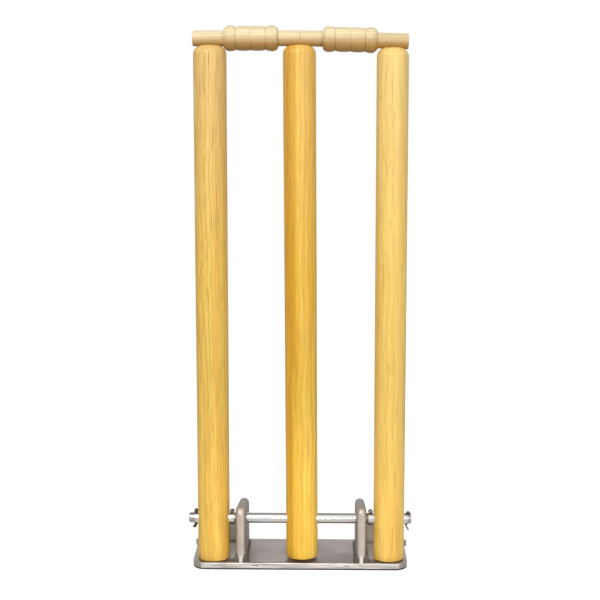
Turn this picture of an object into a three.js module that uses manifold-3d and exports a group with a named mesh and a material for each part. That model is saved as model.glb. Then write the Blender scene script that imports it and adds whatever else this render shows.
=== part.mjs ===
// Cricket stumps on a steel base: three sprung wooden stumps, two bails, one pivot rod
//
// Millimetres, +Z up, +X to the right of someone who bowls at the stumps and +Y behind the stumps.
// The origin is on the ground, straight below the middle of the pivot rod.

import * as THREE from 'three';
import { mergeVertices } from 'three/addons/utils/BufferGeometryUtils.js';
import Module from 'manifold-3d';

const wasm = await Module();
wasm.setup();

// Driving dimensions: the whole set
const stumpTopHeight = 711;
const stumpSpacing = 121.4;
const frameShift = -1.5;
const cutOverrun = 3;
const seatGap = 0.3;

// Base plate
const baseWidth = 297;
const baseDepth = 100;
const baseThickness = 10;
const baseFrontReach = 23;
const baseCornerRadius = 18;

// Pivot rod
const rodRadius = 7.2;
const rodEndReach = 10.6;
const rodHeight = 57.1;
const rodChamfer = 1.4;
const rodClearance = 0.35;

// Side brackets that carry the rod
const bracketOffset = 83;
const bracketThickness = 13.6;
const bracketFrontSetback = 1;
const bracketRearSetback = 5;
const bracketTop = 78;
const bracketNoseLength = 12;
const bracketFrontHeight = 71;
const bracketRearHeight = 57;
const bracketCornerLength = 9;
const bracketCornerHeight = 65.5;
const bracketEdgeRadius = 6.2;
const weldLeg = 7;

// Stumps
const leftStumpRadius = 22;
const middleStumpRadius = 21.85;
const rightStumpRadius = 21.2;
const middleStumpShift = 0.9;
const leftFootGap = 1;
const middleFootGap = 4.3;
const rightFootGap = 1.3;
const rightTopDrop = 3.5;
const stumpDomeDepth = 12;
const stumpDomeFlat = 9;
const stumpFootEdge = 0.8;
const heelClearance = 0.5;

// Bails
const spigotRadius = 10.25;
const spigotEdge = 1;
const bailSeatDepth = 1.9;
const barrelLength = 72.4;
const beadRadius = 16.75;
const swellRadius = 16.1;
const barrelGrooveRadius = 14.2;
const barrelWaistRadius = 15.1;
const collarRadius = 11;
const collarLength = 1.2;
const longSpigot = 40.2;
const shortSpigot = 28.9;
const bailMeetingGap = 0.6;
const bailMeetingShift = 1;

// Rear stops that anchor the springs
const stopThickness = 6;
const stopRearSetback = 3;
const stopHeight = 36;
const stopShoulder = 14;
const stopEndHeight = 1;
const stopToeReach = 4;
const stopToeDrop = 7;
const stopWidth = 36;
const stopCornerRadius = 6;
const lugThickness = 3;
const lugReach = 6;
const lugRadius = 5;
const lugHoleRadius = 3;

// Return springs and the screw eyes that they pull on
const springHeight = 25;
const springInset = 11;
const springWireRadius = 0.9;
const springCoilRadius = 5.5;
const hookRadius = 3.2;
const hookPlay = 0.7;
const eyeRingRadius = 3.2;
const eyeWireRadius = 1;
const eyeStandoff = 0.6;
const eyeShankRadius = 1.8;
const eyeShankLength = 15;

// Split pins
const pinWireRadius = 0.75;
const pinLegGap = 0.2;
const pinEyeRadius = 2.4;
const pinEyeLift = 0.3;
const pinBendDrop = 1;
const pinBendRadius = 1.2;
const pinFaceGap = 3.9;
const pinLongLeg = 9;
const pinShortLeg = 4;
const pinCurlLeg = 1.1;

// Shares, angles and counts
const leftLeanDegrees = 0.07;
const middleLeanDegrees = -0.31;
const rightLeanDegrees = -0.09;
const grooveShare = 0.229;
const slopedFlank = 2.1;
const roundFlank = 0.9;
const heelSides = 128;
const cornerSteps = 8;
const bendSteps = 3;
const edgeSteps = 4;
const lobeSteps = 6;
const eyeSteps = 14;
const hookSteps = 8;
const spreadTurns = 3 / 8;
const holeSides = 16;
const shankSides = 12;
const ringSides = 8;
const ringSteps = 18;
const hookOpenDegrees = 100;
const outerLegDegrees = 32;
const hiddenLegDegrees = 8;
const curlLegDegrees = 78;
const halfSpringTurns = 4.5;
const curlSteps = 8;
const springSides = 5;
const wireSides = 6;
const roundSides = 40;
const rodSides = 40;
const bailSides = 28;
const domeSteps = 6;

// Each stump as it stands: side is -1, 0 or 1
const stumps = [
  {
    name: 'left',
    side: -1,
    shift: 0,
    radius: leftStumpRadius,
    footGap: leftFootGap,
    topDrop: 0,
    leanDegrees: leftLeanDegrees,
  },
  {
    name: 'middle',
    side: 0,
    shift: middleStumpShift,
    radius: middleStumpRadius,
    footGap: middleFootGap,
    topDrop: 0,
    leanDegrees: middleLeanDegrees,
  },
  {
    name: 'right',
    side: 1,
    shift: 0,
    radius: rightStumpRadius,
    footGap: rightFootGap,
    topDrop: rightTopDrop,
    leanDegrees: rightLeanDegrees,
  },
];

const xAxis = new THREE.Vector3(1, 0, 0);
const yAxis = new THREE.Vector3(0, 1, 0);
const zAxis = new THREE.Vector3(0, 0, 1);
const pivotHeight = baseThickness + rodHeight;
const boreRadius = rodRadius + rodClearance;
const springZ = baseThickness + springHeight;
const baseRearReach = baseDepth - baseFrontReach;
const bracketFrontReach = baseFrontReach - bracketFrontSetback;
const bracketRearReach = baseRearReach - bracketRearSetback;
const stopRearReach = baseRearReach - stopRearSetback;
const stopFront = stopRearReach - stopThickness;
const lugCentre = stopFront - lugReach;
const bailSpigotBore = spigotRadius + seatGap;

// A closed geometry as a solid that can be cut and joined
function toSolid(geometry) {
  const bare = geometry.clone();
  bare.deleteAttribute('normal');
  bare.deleteAttribute('uv');
  const welded = mergeVertices(bare);
  const mesh = new wasm.Mesh({
    numProp: 3,
    vertProperties: new Float32Array(welded.attributes.position.array),
    triVerts: new Uint32Array(welded.index.array),
  });
  return new wasm.Manifold(mesh);
}

// A solid back as a geometry with flat faces
function toGeometry(solid) {
  const mesh = solid.getMesh();
  const indexed = new THREE.BufferGeometry();
  const places = new Float32Array(mesh.vertProperties);
  indexed.setAttribute('position', new THREE.BufferAttribute(places, 3));
  indexed.setIndex(new THREE.BufferAttribute(new Uint32Array(mesh.triVerts), 1));
  return indexed;
}

function radians(degrees) {
  return THREE.MathUtils.degToRad(degrees);
}

// A round bar along X, from its middle
function barAlongX(radius, length, sides) {
  const bar = new THREE.CylinderGeometry(radius, radius, length, sides);
  bar.rotateZ(-Math.PI / 2);
  return bar;
}

// A round bar along Y or Z, from its middle
function barAlongY(radius, length, sides) {
  return new THREE.CylinderGeometry(radius, radius, length, sides);
}

function barAlongZ(radius, length, sides) {
  const bar = new THREE.CylinderGeometry(radius, radius, length, sides);
  bar.rotateX(Math.PI / 2);
  return bar;
}

function block(width, depth, height) {
  return new THREE.BoxGeometry(width, depth, height);
}

// A turned shape: pairs of radius and distance along the axis, which becomes +Z
function turned(pairs, sides) {
  const points = pairs.map(([radius, along]) => new THREE.Vector2(radius, along));
  const shape = new THREE.LatheGeometry(points, sides);
  shape.rotateX(Math.PI / 2);
  return shape;
}

// An outline in Y and Z carried along +X
function carriedAlongX(outline, options) {
  const shape = new THREE.ExtrudeGeometry(outline, options);
  shape.applyMatrix4(new THREE.Matrix4().makeBasis(yAxis, zAxis, xAxis));
  return shape;
}

// An outline in X and Z carried towards -Y
function carriedAlongMinusY(outline, options) {
  const shape = new THREE.ExtrudeGeometry(outline, options);
  shape.applyMatrix4(new THREE.Matrix4().makeBasis(xAxis, zAxis, yAxis.clone().negate()));
  return shape;
}

// One unbroken wire through a list of points, with a closed disc at each end
function wireThrough(points, radius, sides) {
  const places = [];
  const faces = [];
  const count = points.length;
  const tangents = points.map((point, i) => {
    const before = points[Math.max(i - 1, 0)];
    const after = points[Math.min(i + 1, count - 1)];
    return new THREE.Vector3().subVectors(after, before).normalize();
  });
  const across = Math.abs(tangents[0].z) < Math.SQRT1_2 ? zAxis : xAxis;
  const side = new THREE.Vector3().crossVectors(tangents[0], across).normalize();
  for (let i = 0; i < count; i += 1) {
    side.addScaledVector(tangents[i], -side.dot(tangents[i])).normalize();
    const up = new THREE.Vector3().crossVectors(tangents[i], side);
    for (let k = 0; k < sides; k += 1) {
      const angle = (2 * Math.PI * k) / sides;
      const place = points[i].clone();
      place.addScaledVector(side, radius * Math.cos(angle));
      place.addScaledVector(up, radius * Math.sin(angle));
      places.push(place.x, place.y, place.z);
    }
  }
  for (let i = 0; i < count - 1; i += 1) {
    for (let k = 0; k < sides; k += 1) {
      const a = i * sides + k;
      const b = i * sides + ((k + 1) % sides);
      faces.push(a, b, b + sides, a, b + sides, a + sides);
    }
  }
  for (let k = 1; k < sides - 1; k += 1) {
    const last = (count - 1) * sides;
    faces.push(0, k + 1, k);
    faces.push(last, last + k, last + k + 1);
  }
  const wire = new THREE.BufferGeometry();
  wire.setAttribute('position', new THREE.Float32BufferAttribute(places, 3));
  wire.setIndex(faces);
  return wire;
}

// The least clear space between two far stretches of the same wire
function leastSelfGap(points, radius, skip) {
  let least = Infinity;
  for (let i = 0; i < points.length; i += 1) {
    for (let j = i + skip; j < points.length; j += 1) {
      least = Math.min(least, points[i].distanceTo(points[j]) - 2 * radius);
    }
  }
  return least;
}

function finish(name, colour, roughness, metalness) {
  const material = new THREE.MeshStandardMaterial({ color: colour, roughness, metalness });
  material.name = name;
  return material;
}

const honeyWood = () => finish('honey_wood', 0xe6b968, 0.42, 0);
const amberWood = () => finish('amber_wood', 0xe3a83f, 0.4, 0);
const paleWood = () => finish('pale_wood', 0xe9c07a, 0.42, 0);
const bailWood = () => finish('bail_wood', 0xe4c79a, 0.5, 0);
const plateSteel = () => finish('plate_steel', 0x98908a, 0.42, 0.9);
const rodSteel = () => finish('rod_steel', 0xc9c7c2, 0.22, 1);
const wireSteel = () => finish('wire_steel', 0x7d7974, 0.38, 0.95);

// Where each bail lies: from its stump's top to the middle stump's top
function stumpAxisX(stump) {
  return stump.side * stumpSpacing + stump.shift;
}

function stumpTop(stump) {
  return stumpTopHeight - stump.topDrop;
}

function stumpTopX(stump) {
  const rise = stumpTop(stump) - pivotHeight;
  return stumpAxisX(stump) + rise * Math.tan(radians(stump.leanDegrees));
}

function bailRestHeight(stump) {
  return stumpTop(stump) - bailSeatDepth + bailSpigotBore;
}

const middleStump = stumps[1];

function bailPlacement(stump) {
  const inner = new THREE.Vector3(-bailMeetingShift, 0, bailRestHeight(middleStump));
  const outer = new THREE.Vector3(stumpTopX(stump), 0, bailRestHeight(stump));
  const way = new THREE.Vector3().subVectors(outer, inner).normalize();
  return { inner, way };
}

// A geometry made along +Z, laid along a bail's line from the middle stump outwards
function laidAlongBail(geometry, placement) {
  const turn = new THREE.Quaternion();
  turn.setFromUnitVectors(new THREE.Vector3(0, 0, 1), placement.way);
  geometry.applyQuaternion(turn);
  geometry.translate(placement.inner.x, placement.inner.y, placement.inner.z);
  return geometry;
}

// Base plate: one flat bar with round corners
function basePlate() {
  const left = -baseWidth / 2;
  const right = baseWidth / 2;
  const front = -baseFrontReach;
  const rear = baseRearReach;
  const r = baseCornerRadius;
  const outline = new THREE.Shape();
  outline.moveTo(left + r, front);
  outline.lineTo(right - r, front);
  outline.absarc(right - r, front + r, r, -Math.PI / 2, 0, false);
  outline.lineTo(right, rear - r);
  outline.absarc(right - r, rear - r, r, 0, Math.PI / 2, false);
  outline.lineTo(left + r, rear);
  outline.absarc(left + r, rear - r, r, Math.PI / 2, Math.PI, false);
  outline.lineTo(left, front + r);
  outline.absarc(left + r, front + r, r, Math.PI, 1.5 * Math.PI, false);
  const plate = new THREE.ExtrudeGeometry(outline, { depth: baseThickness, bevelEnabled: false, curveSegments: cornerSteps });
  plate.translate(frameShift, 0, 0);
  return plate;
}

// Side bracket: a thick plate on edge with a rounded nose, drilled for the rod and welded at its foot
function bracketOutline() {
  const inset = bracketEdgeRadius;
  const front = -bracketFrontReach + inset;
  const rear = bracketRearReach - inset;
  const top = bracketTop - inset;
  const foot = -inset - cutOverrun;
  const nose = -bracketFrontReach + bracketNoseLength;
  const shoulder = bracketFrontHeight - inset;
  const corner = bracketCornerHeight - inset;
  const outline = new THREE.Shape();
  outline.moveTo(front, foot);
  outline.lineTo(rear, foot);
  outline.lineTo(rear, bracketRearHeight - inset);
  outline.quadraticCurveTo(rear, corner, rear - bracketCornerLength, corner);
  outline.lineTo(nose, top);
  outline.quadraticCurveTo(front, top, front, shoulder);
  outline.lineTo(front, foot);
  return outline;
}

function weldBead(sign) {
  const corner = new THREE.Shape();
  corner.moveTo(0, 0);
  corner.lineTo(sign * weldLeg, 0);
  corner.quadraticCurveTo(0, 0, 0, weldLeg);
  const length = bracketRearReach + bracketFrontReach - 2 * bracketEdgeRadius;
  const bead = carriedAlongMinusY(corner, { depth: length, bevelEnabled: false, curveSegments: bendSteps });
  bead.translate(sign * (bracketThickness / 2 - seatGap), bracketRearReach - bracketEdgeRadius, 0);
  return bead;
}

function sideBracket(side) {
  const depth = bracketThickness - 2 * bracketEdgeRadius;
  const body = carriedAlongX(bracketOutline(), {
    depth,
    bevelEnabled: true,
    bevelSize: bracketEdgeRadius,
    bevelThickness: bracketEdgeRadius,
    bevelSegments: edgeSteps,
    curveSegments: cornerSteps,
  });
  body.translate(-depth / 2, 0, 0);
  let solid = toSolid(body);
  const underDepth = bracketRearReach + bracketFrontReach + 2 * cutOverrun;
  const under = block(bracketThickness + 2 * cutOverrun, underDepth, 2 * bracketEdgeRadius + 2 * cutOverrun);
  under.translate(0, (bracketRearReach - bracketFrontReach) / 2, -bracketEdgeRadius - cutOverrun);
  solid = solid.subtract(toSolid(under));
  solid = solid.add(toSolid(weldBead(1)));
  solid = solid.add(toSolid(weldBead(-1)));
  const bore = barAlongX(boreRadius, bracketThickness + 2 * cutOverrun, rodSides);
  bore.translate(0, 0, rodHeight);
  solid = solid.subtract(toSolid(bore));
  const geometry = toGeometry(solid);
  geometry.translate(side * bracketOffset, 0, baseThickness);
  return geometry;
}

// Rear stops: upright plates behind the stumps, each with a drilled lug that holds a spring
function stopLug(x) {
  const outline = new THREE.Shape();
  outline.moveTo(stopFront + stopThickness / 2, springHeight - lugRadius);
  outline.lineTo(stopFront + stopThickness / 2, springHeight + lugRadius);
  outline.lineTo(lugCentre, springHeight + lugRadius);
  outline.absarc(lugCentre, springHeight, lugRadius, Math.PI / 2, 1.5 * Math.PI, false);
  const hole = new THREE.Path();
  hole.absarc(lugCentre, springHeight, lugHoleRadius, 0, 2 * Math.PI, true);
  outline.holes.push(hole);
  const lug = carriedAlongX(outline, { depth: lugThickness, bevelEnabled: false, curveSegments: cornerSteps });
  lug.translate(x - lugThickness / 2, 0, 0);
  return lug;
}

function outerStop(side) {
  const edge = baseWidth / 2 + side * frameShift;
  const inner = bracketOffset + bracketThickness / 2;
  const end = edge + stopToeReach;
  const outline = new THREE.Shape();
  outline.moveTo(side * inner, 0);
  outline.lineTo(side * inner, stopHeight);
  outline.lineTo(side * (inner + stopShoulder), stopHeight);
  outline.lineTo(side * edge, stopEndHeight);
  outline.lineTo(side * end, stopEndHeight);
  outline.lineTo(side * end, -stopToeDrop);
  outline.lineTo(side * (edge + seatGap), -stopToeDrop);
  outline.lineTo(side * (edge + seatGap), 0);
  outline.lineTo(side * inner, 0);
  const plate = carriedAlongMinusY(outline, { depth: stopThickness, bevelEnabled: false });
  plate.translate(0, stopRearReach, 0);
  let solid = toSolid(plate);
  solid = solid.add(toSolid(stopLug(side * (stumpSpacing - springInset))));
  const footRoom = block(2 * (weldLeg + seatGap), 2 * stopRearReach, 2 * (weldLeg + seatGap));
  footRoom.translate(side * inner, 0, 0);
  solid = solid.subtract(toSolid(footRoom));
  const geometry = toGeometry(solid);
  geometry.translate(0, 0, baseThickness);
  return geometry;
}

function middleStop() {
  const half = stopWidth / 2;
  const r = stopCornerRadius;
  const x = stumpAxisX(middleStump);
  const outline = new THREE.Shape();
  outline.moveTo(x - half, 0);
  outline.lineTo(x + half, 0);
  outline.lineTo(x + half, stopHeight - r);
  outline.absarc(x + half - r, stopHeight - r, r, 0, Math.PI / 2, false);
  outline.lineTo(x - half + r, stopHeight);
  outline.absarc(x - half + r, stopHeight - r, r, Math.PI / 2, Math.PI, false);
  outline.lineTo(x - half, 0);
  const plate = carriedAlongMinusY(outline, { depth: stopThickness, bevelEnabled: false, curveSegments: cornerSteps });
  plate.translate(0, stopRearReach, 0);
  const geometry = toGeometry(toSolid(plate).add(toSolid(stopLug(x))));
  geometry.translate(0, 0, baseThickness);
  return geometry;
}

// Split pins: one wire each, folded into an eye above the rod and bent apart below it
function pinPlaces() {
  const outerFace = stumpSpacing + leftStumpRadius + pinFaceGap;
  const innerFace = stumpSpacing - leftStumpRadius - pinFaceGap;
  return [
    { name: 'outer_left', x: -outerFace, side: -1, outer: true },
    { name: 'inner_left', x: -innerFace, side: -1, outer: false },
    { name: 'inner_right', x: innerFace, side: 1, outer: false },
    { name: 'outer_right', x: outerFace, side: 1, outer: true },
  ];
}

const pinHoleRadius = 2 * pinWireRadius + pinLegGap / 2 + seatGap;

// One leg below the rod: straight, round its bend and out to its tip, in the pin's own plane
function pinLeg(startX, sign, degrees, length) {
  const angle = radians(degrees);
  const bendTop = -(rodRadius + pinBendDrop);
  const centreX = startX + sign * pinBendRadius;
  const leg = [];
  for (let i = 0; i <= bendSteps; i += 1) {
    const turn = (angle * i) / bendSteps;
    leg.push([centreX - sign * pinBendRadius * Math.cos(turn), bendTop - pinBendRadius * Math.sin(turn)]);
  }
  const last = leg[leg.length - 1];
  leg.push([last[0] + sign * Math.sin(angle) * length, last[1] - Math.cos(angle) * length]);
  return leg;
}

function splitPin(place) {
  const legX = pinWireRadius + pinLegGap / 2;
  const neck = rodRadius + pinEyeLift;
  const centreZ = neck + Math.sqrt(pinEyeRadius ** 2 - legX ** 2);
  const open = Math.asin(legX / pinEyeRadius);
  const outwards = place.side;
  const shownLeg = place.outer
    ? pinLeg(outwards * legX, outwards, outerLegDegrees, pinLongLeg)
    : pinLeg(outwards * legX, outwards, curlLegDegrees, pinCurlLeg);
  const otherLeg = place.outer
    ? pinLeg(-outwards * legX, -outwards, hiddenLegDegrees, pinShortLeg)
    : pinLeg(-outwards * legX, -outwards, curlLegDegrees, pinCurlLeg);
  const flat = [...shownLeg].reverse();
  for (let i = 0; i <= eyeSteps; i += 1) {
    const angle = -Math.PI / 2 + open + ((2 * Math.PI - 2 * open) * i) / eyeSteps;
    flat.push([outwards * pinEyeRadius * Math.cos(angle), centreZ + pinEyeRadius * Math.sin(angle)]);
  }
  flat.push(...otherLeg);
  const points = flat.map(([x, z]) => new THREE.Vector3(place.x + x, 0, pivotHeight + z));
  return wireThrough(points, pinWireRadius, wireSides);
}

// Pivot rod: a bright bar with chamfered ends and a cross hole for each split pin
function pivotRod() {
  const half = stumpSpacing + leftStumpRadius + rodEndReach;
  const rod = turned([
    [0, -half],
    [rodRadius - rodChamfer, -half],
    [rodRadius, -half + rodChamfer],
    [rodRadius, half - rodChamfer],
    [rodRadius - rodChamfer, half],
    [0, half],
  ], rodSides);
  rod.rotateY(Math.PI / 2);
  rod.translate(frameShift, 0, pivotHeight);
  let solid = toSolid(rod);
  for (const place of pinPlaces()) {
    const hole = barAlongZ(pinHoleRadius, 2 * rodRadius + 2 * cutOverrun, holeSides);
    hole.translate(place.x, 0, pivotHeight);
    solid = solid.subtract(toSolid(hole));
  }
  return toGeometry(solid);
}

// Stumps: a turned wooden post with a domed top, bored for the rod
function stumpProfile(radius, length) {
  const pairs = [[0, 0], [radius - stumpFootEdge, 0], [radius, stumpFootEdge]];
  const shoulder = length - stumpDomeDepth;
  const reach = radius - stumpDomeFlat;
  for (let i = 0; i <= domeSteps; i += 1) {
    const angle = (Math.PI / 2) * (i / domeSteps);
    pairs.push([stumpDomeFlat + reach * Math.cos(angle), shoulder + stumpDomeDepth * Math.sin(angle)]);
  }
  pairs.push([0, length]);
  return pairs;
}

// The heel behind the pivot is rounded, so that the foot swings over the plate
function heelCutter(x) {
  const swing = rodHeight - heelClearance;
  const width = 2 * leftStumpRadius + 2 * cutOverrun;
  const room = block(width, leftStumpRadius + cutOverrun, leftStumpRadius);
  room.translate(x, (leftStumpRadius + cutOverrun) / 2, baseThickness + leftStumpRadius / 2);
  const round = barAlongX(swing, width + 2 * cutOverrun, heelSides);
  round.translate(x, 0, pivotHeight);
  return toSolid(room).subtract(toSolid(round));
}

function springX(stump) {
  return stumpAxisX(stump) - stump.side * springInset;
}

// How far behind the pivot the stump's surface is, on the spring's line
function backFace(stump) {
  const aside = springX(stump) - stumpAxisX(stump);
  return Math.sqrt(stump.radius ** 2 - aside ** 2);
}

function stumpPost(stump) {
  const x = stumpAxisX(stump);
  const foot = baseThickness + stump.footGap;
  const post = turned(stumpProfile(stump.radius, stumpTop(stump) - foot), roundSides);
  post.translate(0, 0, foot - pivotHeight);
  post.rotateY(radians(stump.leanDegrees));
  post.translate(x, 0, pivotHeight);
  let solid = toSolid(post);
  const bore = barAlongX(boreRadius, 2 * stump.radius + 2 * cutOverrun, rodSides);
  bore.translate(x, 0, pivotHeight);
  solid = solid.subtract(toSolid(bore));
  solid = solid.subtract(heelCutter(x));
  const pilot = barAlongY(eyeShankRadius + seatGap, 2 * (eyeShankLength + seatGap), shankSides);
  pilot.translate(springX(stump), backFace(stump), springZ);
  solid = solid.subtract(toSolid(pilot));
  const carried = stump.side === 0 ? [stumps[0], stumps[2]] : [stump];
  for (const outer of carried) {
    const groove = barAlongZ(bailSpigotBore, 2 * (stumpSpacing + leftStumpRadius + cutOverrun), roundSides);
    solid = solid.subtract(toSolid(laidAlongBail(groove, bailPlacement(outer))));
  }
  return toGeometry(solid);
}

// Bails: a barrel of four turned lobes between a long outer spigot and a short inner one
function lobe(from, to, crest) {
  const pairs = [];
  for (let i = 1; i <= lobeSteps; i += 1) {
    const angle = (Math.PI * i) / lobeSteps;
    const share = (1 - Math.cos(angle)) / 2;
    const floor = from.radius + (to.radius - from.radius) * share;
    const flank = share < 1 / 2 ? from.flank : to.flank;
    const rise = Math.max(Math.sin(angle), 0) ** flank;
    pairs.push([floor + (crest - floor) * rise, from.along + (to.along - from.along) * share]);
  }
  return pairs;
}

function barrelPairs(start) {
  const valleys = [
    { share: 0, radius: collarRadius, flank: slopedFlank },
    { share: grooveShare, radius: barrelGrooveRadius, flank: roundFlank },
    { share: 1 / 2, radius: barrelWaistRadius, flank: roundFlank },
    { share: 1 - grooveShare, radius: barrelGrooveRadius, flank: roundFlank },
    { share: 1, radius: collarRadius, flank: slopedFlank },
  ];
  const placed = valleys.map((valley) => ({ ...valley, along: start + barrelLength * valley.share }));
  const crests = [beadRadius, swellRadius, swellRadius, beadRadius];
  return crests.flatMap((crest, i) => lobe(placed[i], placed[i + 1], crest));
}

function bail(stump) {
  const placement = bailPlacement(stump);
  const start = bailMeetingGap / 2;
  const barrelStart = start + shortSpigot;
  const barrelEnd = barrelStart + barrelLength;
  const end = barrelEnd + longSpigot;
  const shape = turned([
    [0, start],
    [spigotRadius - spigotEdge, start],
    [spigotRadius, start + spigotEdge],
    [spigotRadius, barrelStart - collarLength],
    [collarRadius, barrelStart],
    ...barrelPairs(barrelStart),
    [spigotRadius, barrelEnd + collarLength],
    [spigotRadius, end - spigotEdge],
    [spigotRadius - spigotEdge, end],
    [0, end],
  ], bailSides);
  return laidAlongBail(shape, placement);
}

// Screw eyes: a ring on a shank, driven into the back of each stump above its foot
function eyeCentre(stump) {
  return backFace(stump) + eyeStandoff + eyeRingRadius + eyeWireRadius;
}

function screwEye(stump) {
  const ring = new THREE.TorusGeometry(eyeRingRadius, eyeWireRadius, ringSides, ringSteps);
  ring.rotateY(Math.PI / 2);
  const shankFront = backFace(stump) - eyeShankLength;
  const shankRear = eyeCentre(stump) - eyeRingRadius;
  const shank = barAlongY(eyeShankRadius, shankRear - shankFront, shankSides);
  shank.translate(0, (shankRear + shankFront) / 2 - eyeCentre(stump), 0);
  const geometry = toGeometry(toSolid(ring).add(toSolid(shank)));
  geometry.translate(springX(stump), eyeCentre(stump), springZ);
  return geometry;
}

// Return springs: half of the wire from its open hook to the middle curl, then the same half turned over
function springPoints(stump) {
  const x = springX(stump);
  const front = eyeCentre(stump) + hookPlay + 2 * hookRadius;
  const rear = lugCentre - hookPlay - 2 * hookRadius;
  const middle = (front + rear) / 2;
  const hookCentre = front - hookRadius;
  const half = [];
  const open = radians(hookOpenDegrees);
  for (let i = 0; i < hookSteps; i += 1) {
    const angle = open + ((2 * Math.PI - open) * i) / hookSteps;
    half.push([hookRadius * Math.sin(angle), hookCentre + hookRadius * Math.cos(angle) - middle, 0]);
  }
  const steps = halfSpringTurns * curlSteps;
  const spreadSteps = spreadTurns * curlSteps;
  for (let i = 0; i <= steps; i += 1) {
    const angle = (2 * Math.PI * i) / curlSteps;
    const spread = Math.min(i / spreadSteps, 1);
    const reach = springCoilRadius * Math.sin((spread * Math.PI) / 2);
    half.push([reach * Math.cos(angle), (front - middle) * (1 - i / steps), reach * Math.sin(angle)]);
  }
  const turnedOver = half.slice(0, -1).reverse().map(([a, b, c]) => [a, -b, -c]);
  return [...half, ...turnedOver].map(([a, b, c]) => new THREE.Vector3(x + a, middle + b, springZ + c));
}

function returnSpring(stump) {
  const points = springPoints(stump);
  const gap = leastSelfGap(points, springWireRadius, curlSteps / 2);
  console.log(`spring_${stump.name}: least gap to itself ${gap.toFixed(2)} mm`);
  return wireThrough(points, springWireRadius, springSides);
}

// The assembly
const assembly = new THREE.Group();

function place(name, geometry, material) {
  const mesh = new THREE.Mesh(geometry, material);
  mesh.name = name;
  assembly.add(mesh);
}

place('base_plate', basePlate(), plateSteel());
place('bracket_left', sideBracket(-1), plateSteel());
place('bracket_right', sideBracket(1), plateSteel());
place('rear_stop_left', outerStop(-1), plateSteel());
place('rear_stop_middle', middleStop(), plateSteel());
place('rear_stop_right', outerStop(1), plateSteel());
place('pivot_rod', pivotRod(), rodSteel());
for (const pin of pinPlaces()) {
  place(`split_pin_${pin.name}`, splitPin(pin), wireSteel());
}
const stumpWoods = { left: honeyWood, middle: amberWood, right: paleWood };
for (const stump of stumps) {
  place(`stump_${stump.name}`, stumpPost(stump), stumpWoods[stump.name]());
  place(`screw_eye_${stump.name}`, screwEye(stump), wireSteel());
  place(`return_spring_${stump.name}`, returnSpring(stump), wireSteel());
}
for (const stump of [stumps[0], stumps[2]]) {
  place(`bail_${stump.name}`, bail(stump), bailWood());
}

export default assembly;
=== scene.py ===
# %% [markdown]
# # Cricket stumps on a sprung steel base
#
# This lesson dresses a working model of three sprung cricket stumps. The solids come
# from the frame: they already stand in their right places and know how they move. Each
# cell below takes one piece or one finish of the real thing, says what it is, and builds
# it as a surface worked out with numpy.

# %% Load the frame
import math

import bpy
import numpy as np
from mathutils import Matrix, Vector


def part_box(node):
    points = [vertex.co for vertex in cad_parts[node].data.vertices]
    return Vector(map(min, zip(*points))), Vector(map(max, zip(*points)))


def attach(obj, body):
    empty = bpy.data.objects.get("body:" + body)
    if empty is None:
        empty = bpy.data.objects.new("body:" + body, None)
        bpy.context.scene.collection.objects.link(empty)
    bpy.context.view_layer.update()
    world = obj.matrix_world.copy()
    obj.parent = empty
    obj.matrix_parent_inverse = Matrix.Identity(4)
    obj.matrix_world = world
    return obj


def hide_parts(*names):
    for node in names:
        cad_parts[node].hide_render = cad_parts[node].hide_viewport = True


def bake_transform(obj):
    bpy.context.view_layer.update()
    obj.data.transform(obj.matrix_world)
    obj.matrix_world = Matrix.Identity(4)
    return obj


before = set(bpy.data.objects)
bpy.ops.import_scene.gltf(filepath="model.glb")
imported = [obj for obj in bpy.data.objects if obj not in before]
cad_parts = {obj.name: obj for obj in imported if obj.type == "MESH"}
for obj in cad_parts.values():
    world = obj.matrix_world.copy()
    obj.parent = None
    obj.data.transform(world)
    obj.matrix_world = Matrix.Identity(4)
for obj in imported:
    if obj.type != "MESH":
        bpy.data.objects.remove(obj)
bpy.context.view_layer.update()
print("nodes in the frame:", len(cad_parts))

# %% [markdown]
# ## Sizes that several pieces share
#
# The frame gives every solid's box, so most places are read from it. A few sizes can't be
# read from a box, such as how far the stumps stand apart and how much each one leans.
# They are written here once, in metres and degrees.

# %% Shared sizes
PLATE_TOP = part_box("base_plate")[1].z
ROD_LOW, ROD_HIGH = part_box("pivot_rod")
ROD_RADIUS = (ROD_HIGH.z - ROD_LOW.z) / 2
PIVOT_Z = (ROD_HIGH.z + ROD_LOW.z) / 2
RUNNING_GAP = 0.00035
STUMP_X = {"left": -0.1214, "middle": 0.0009, "right": 0.1214}
STUMP_RADIUS = {"left": 0.022, "middle": 0.02185, "right": 0.0212}
STUMP_LEAN = {"left": 0.07, "middle": -0.31, "right": -0.09}
SIDES = ("left", "middle", "right")
print("plate top %.4f m, pivot %.4f m, rod radius %.4f m" % (PLATE_TOP, PIVOT_Z, ROD_RADIUS))

# %% [markdown]
# ## Camera
#
# A camera was fitted to the photograph. It stands about 1.6 m in front of the stumps and
# 0.6 m up, a little to the right, and looks slightly down. The focal length is known in
# pixels of the 600 pixel picture, so the lens is that share of the sensor's width.

# %% Place the camera
CAMERA_PLACE = (0.0258, -1.6054, 0.5977)
CAMERA_DOWN = math.radians(7.98)
CAMERA_LEFT = math.radians(0.981)
FOCAL_PIXELS = 1198
PICTURE_PIXELS = 600

camera_data = bpy.data.cameras.new("studio_camera")
camera_data.sensor_width = 36
camera_data.lens = FOCAL_PIXELS / PICTURE_PIXELS * camera_data.sensor_width
camera = bpy.data.objects.new("studio_camera", camera_data)
camera.location = CAMERA_PLACE
camera.rotation_euler = (math.pi / 2 - CAMERA_DOWN, 0, CAMERA_LEFT)
bpy.context.scene.collection.objects.link(camera)
bpy.context.scene.camera = camera
bpy.context.scene.view_settings.view_transform = "Standard"
print("lens %.1f mm" % camera_data.lens)

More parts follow.
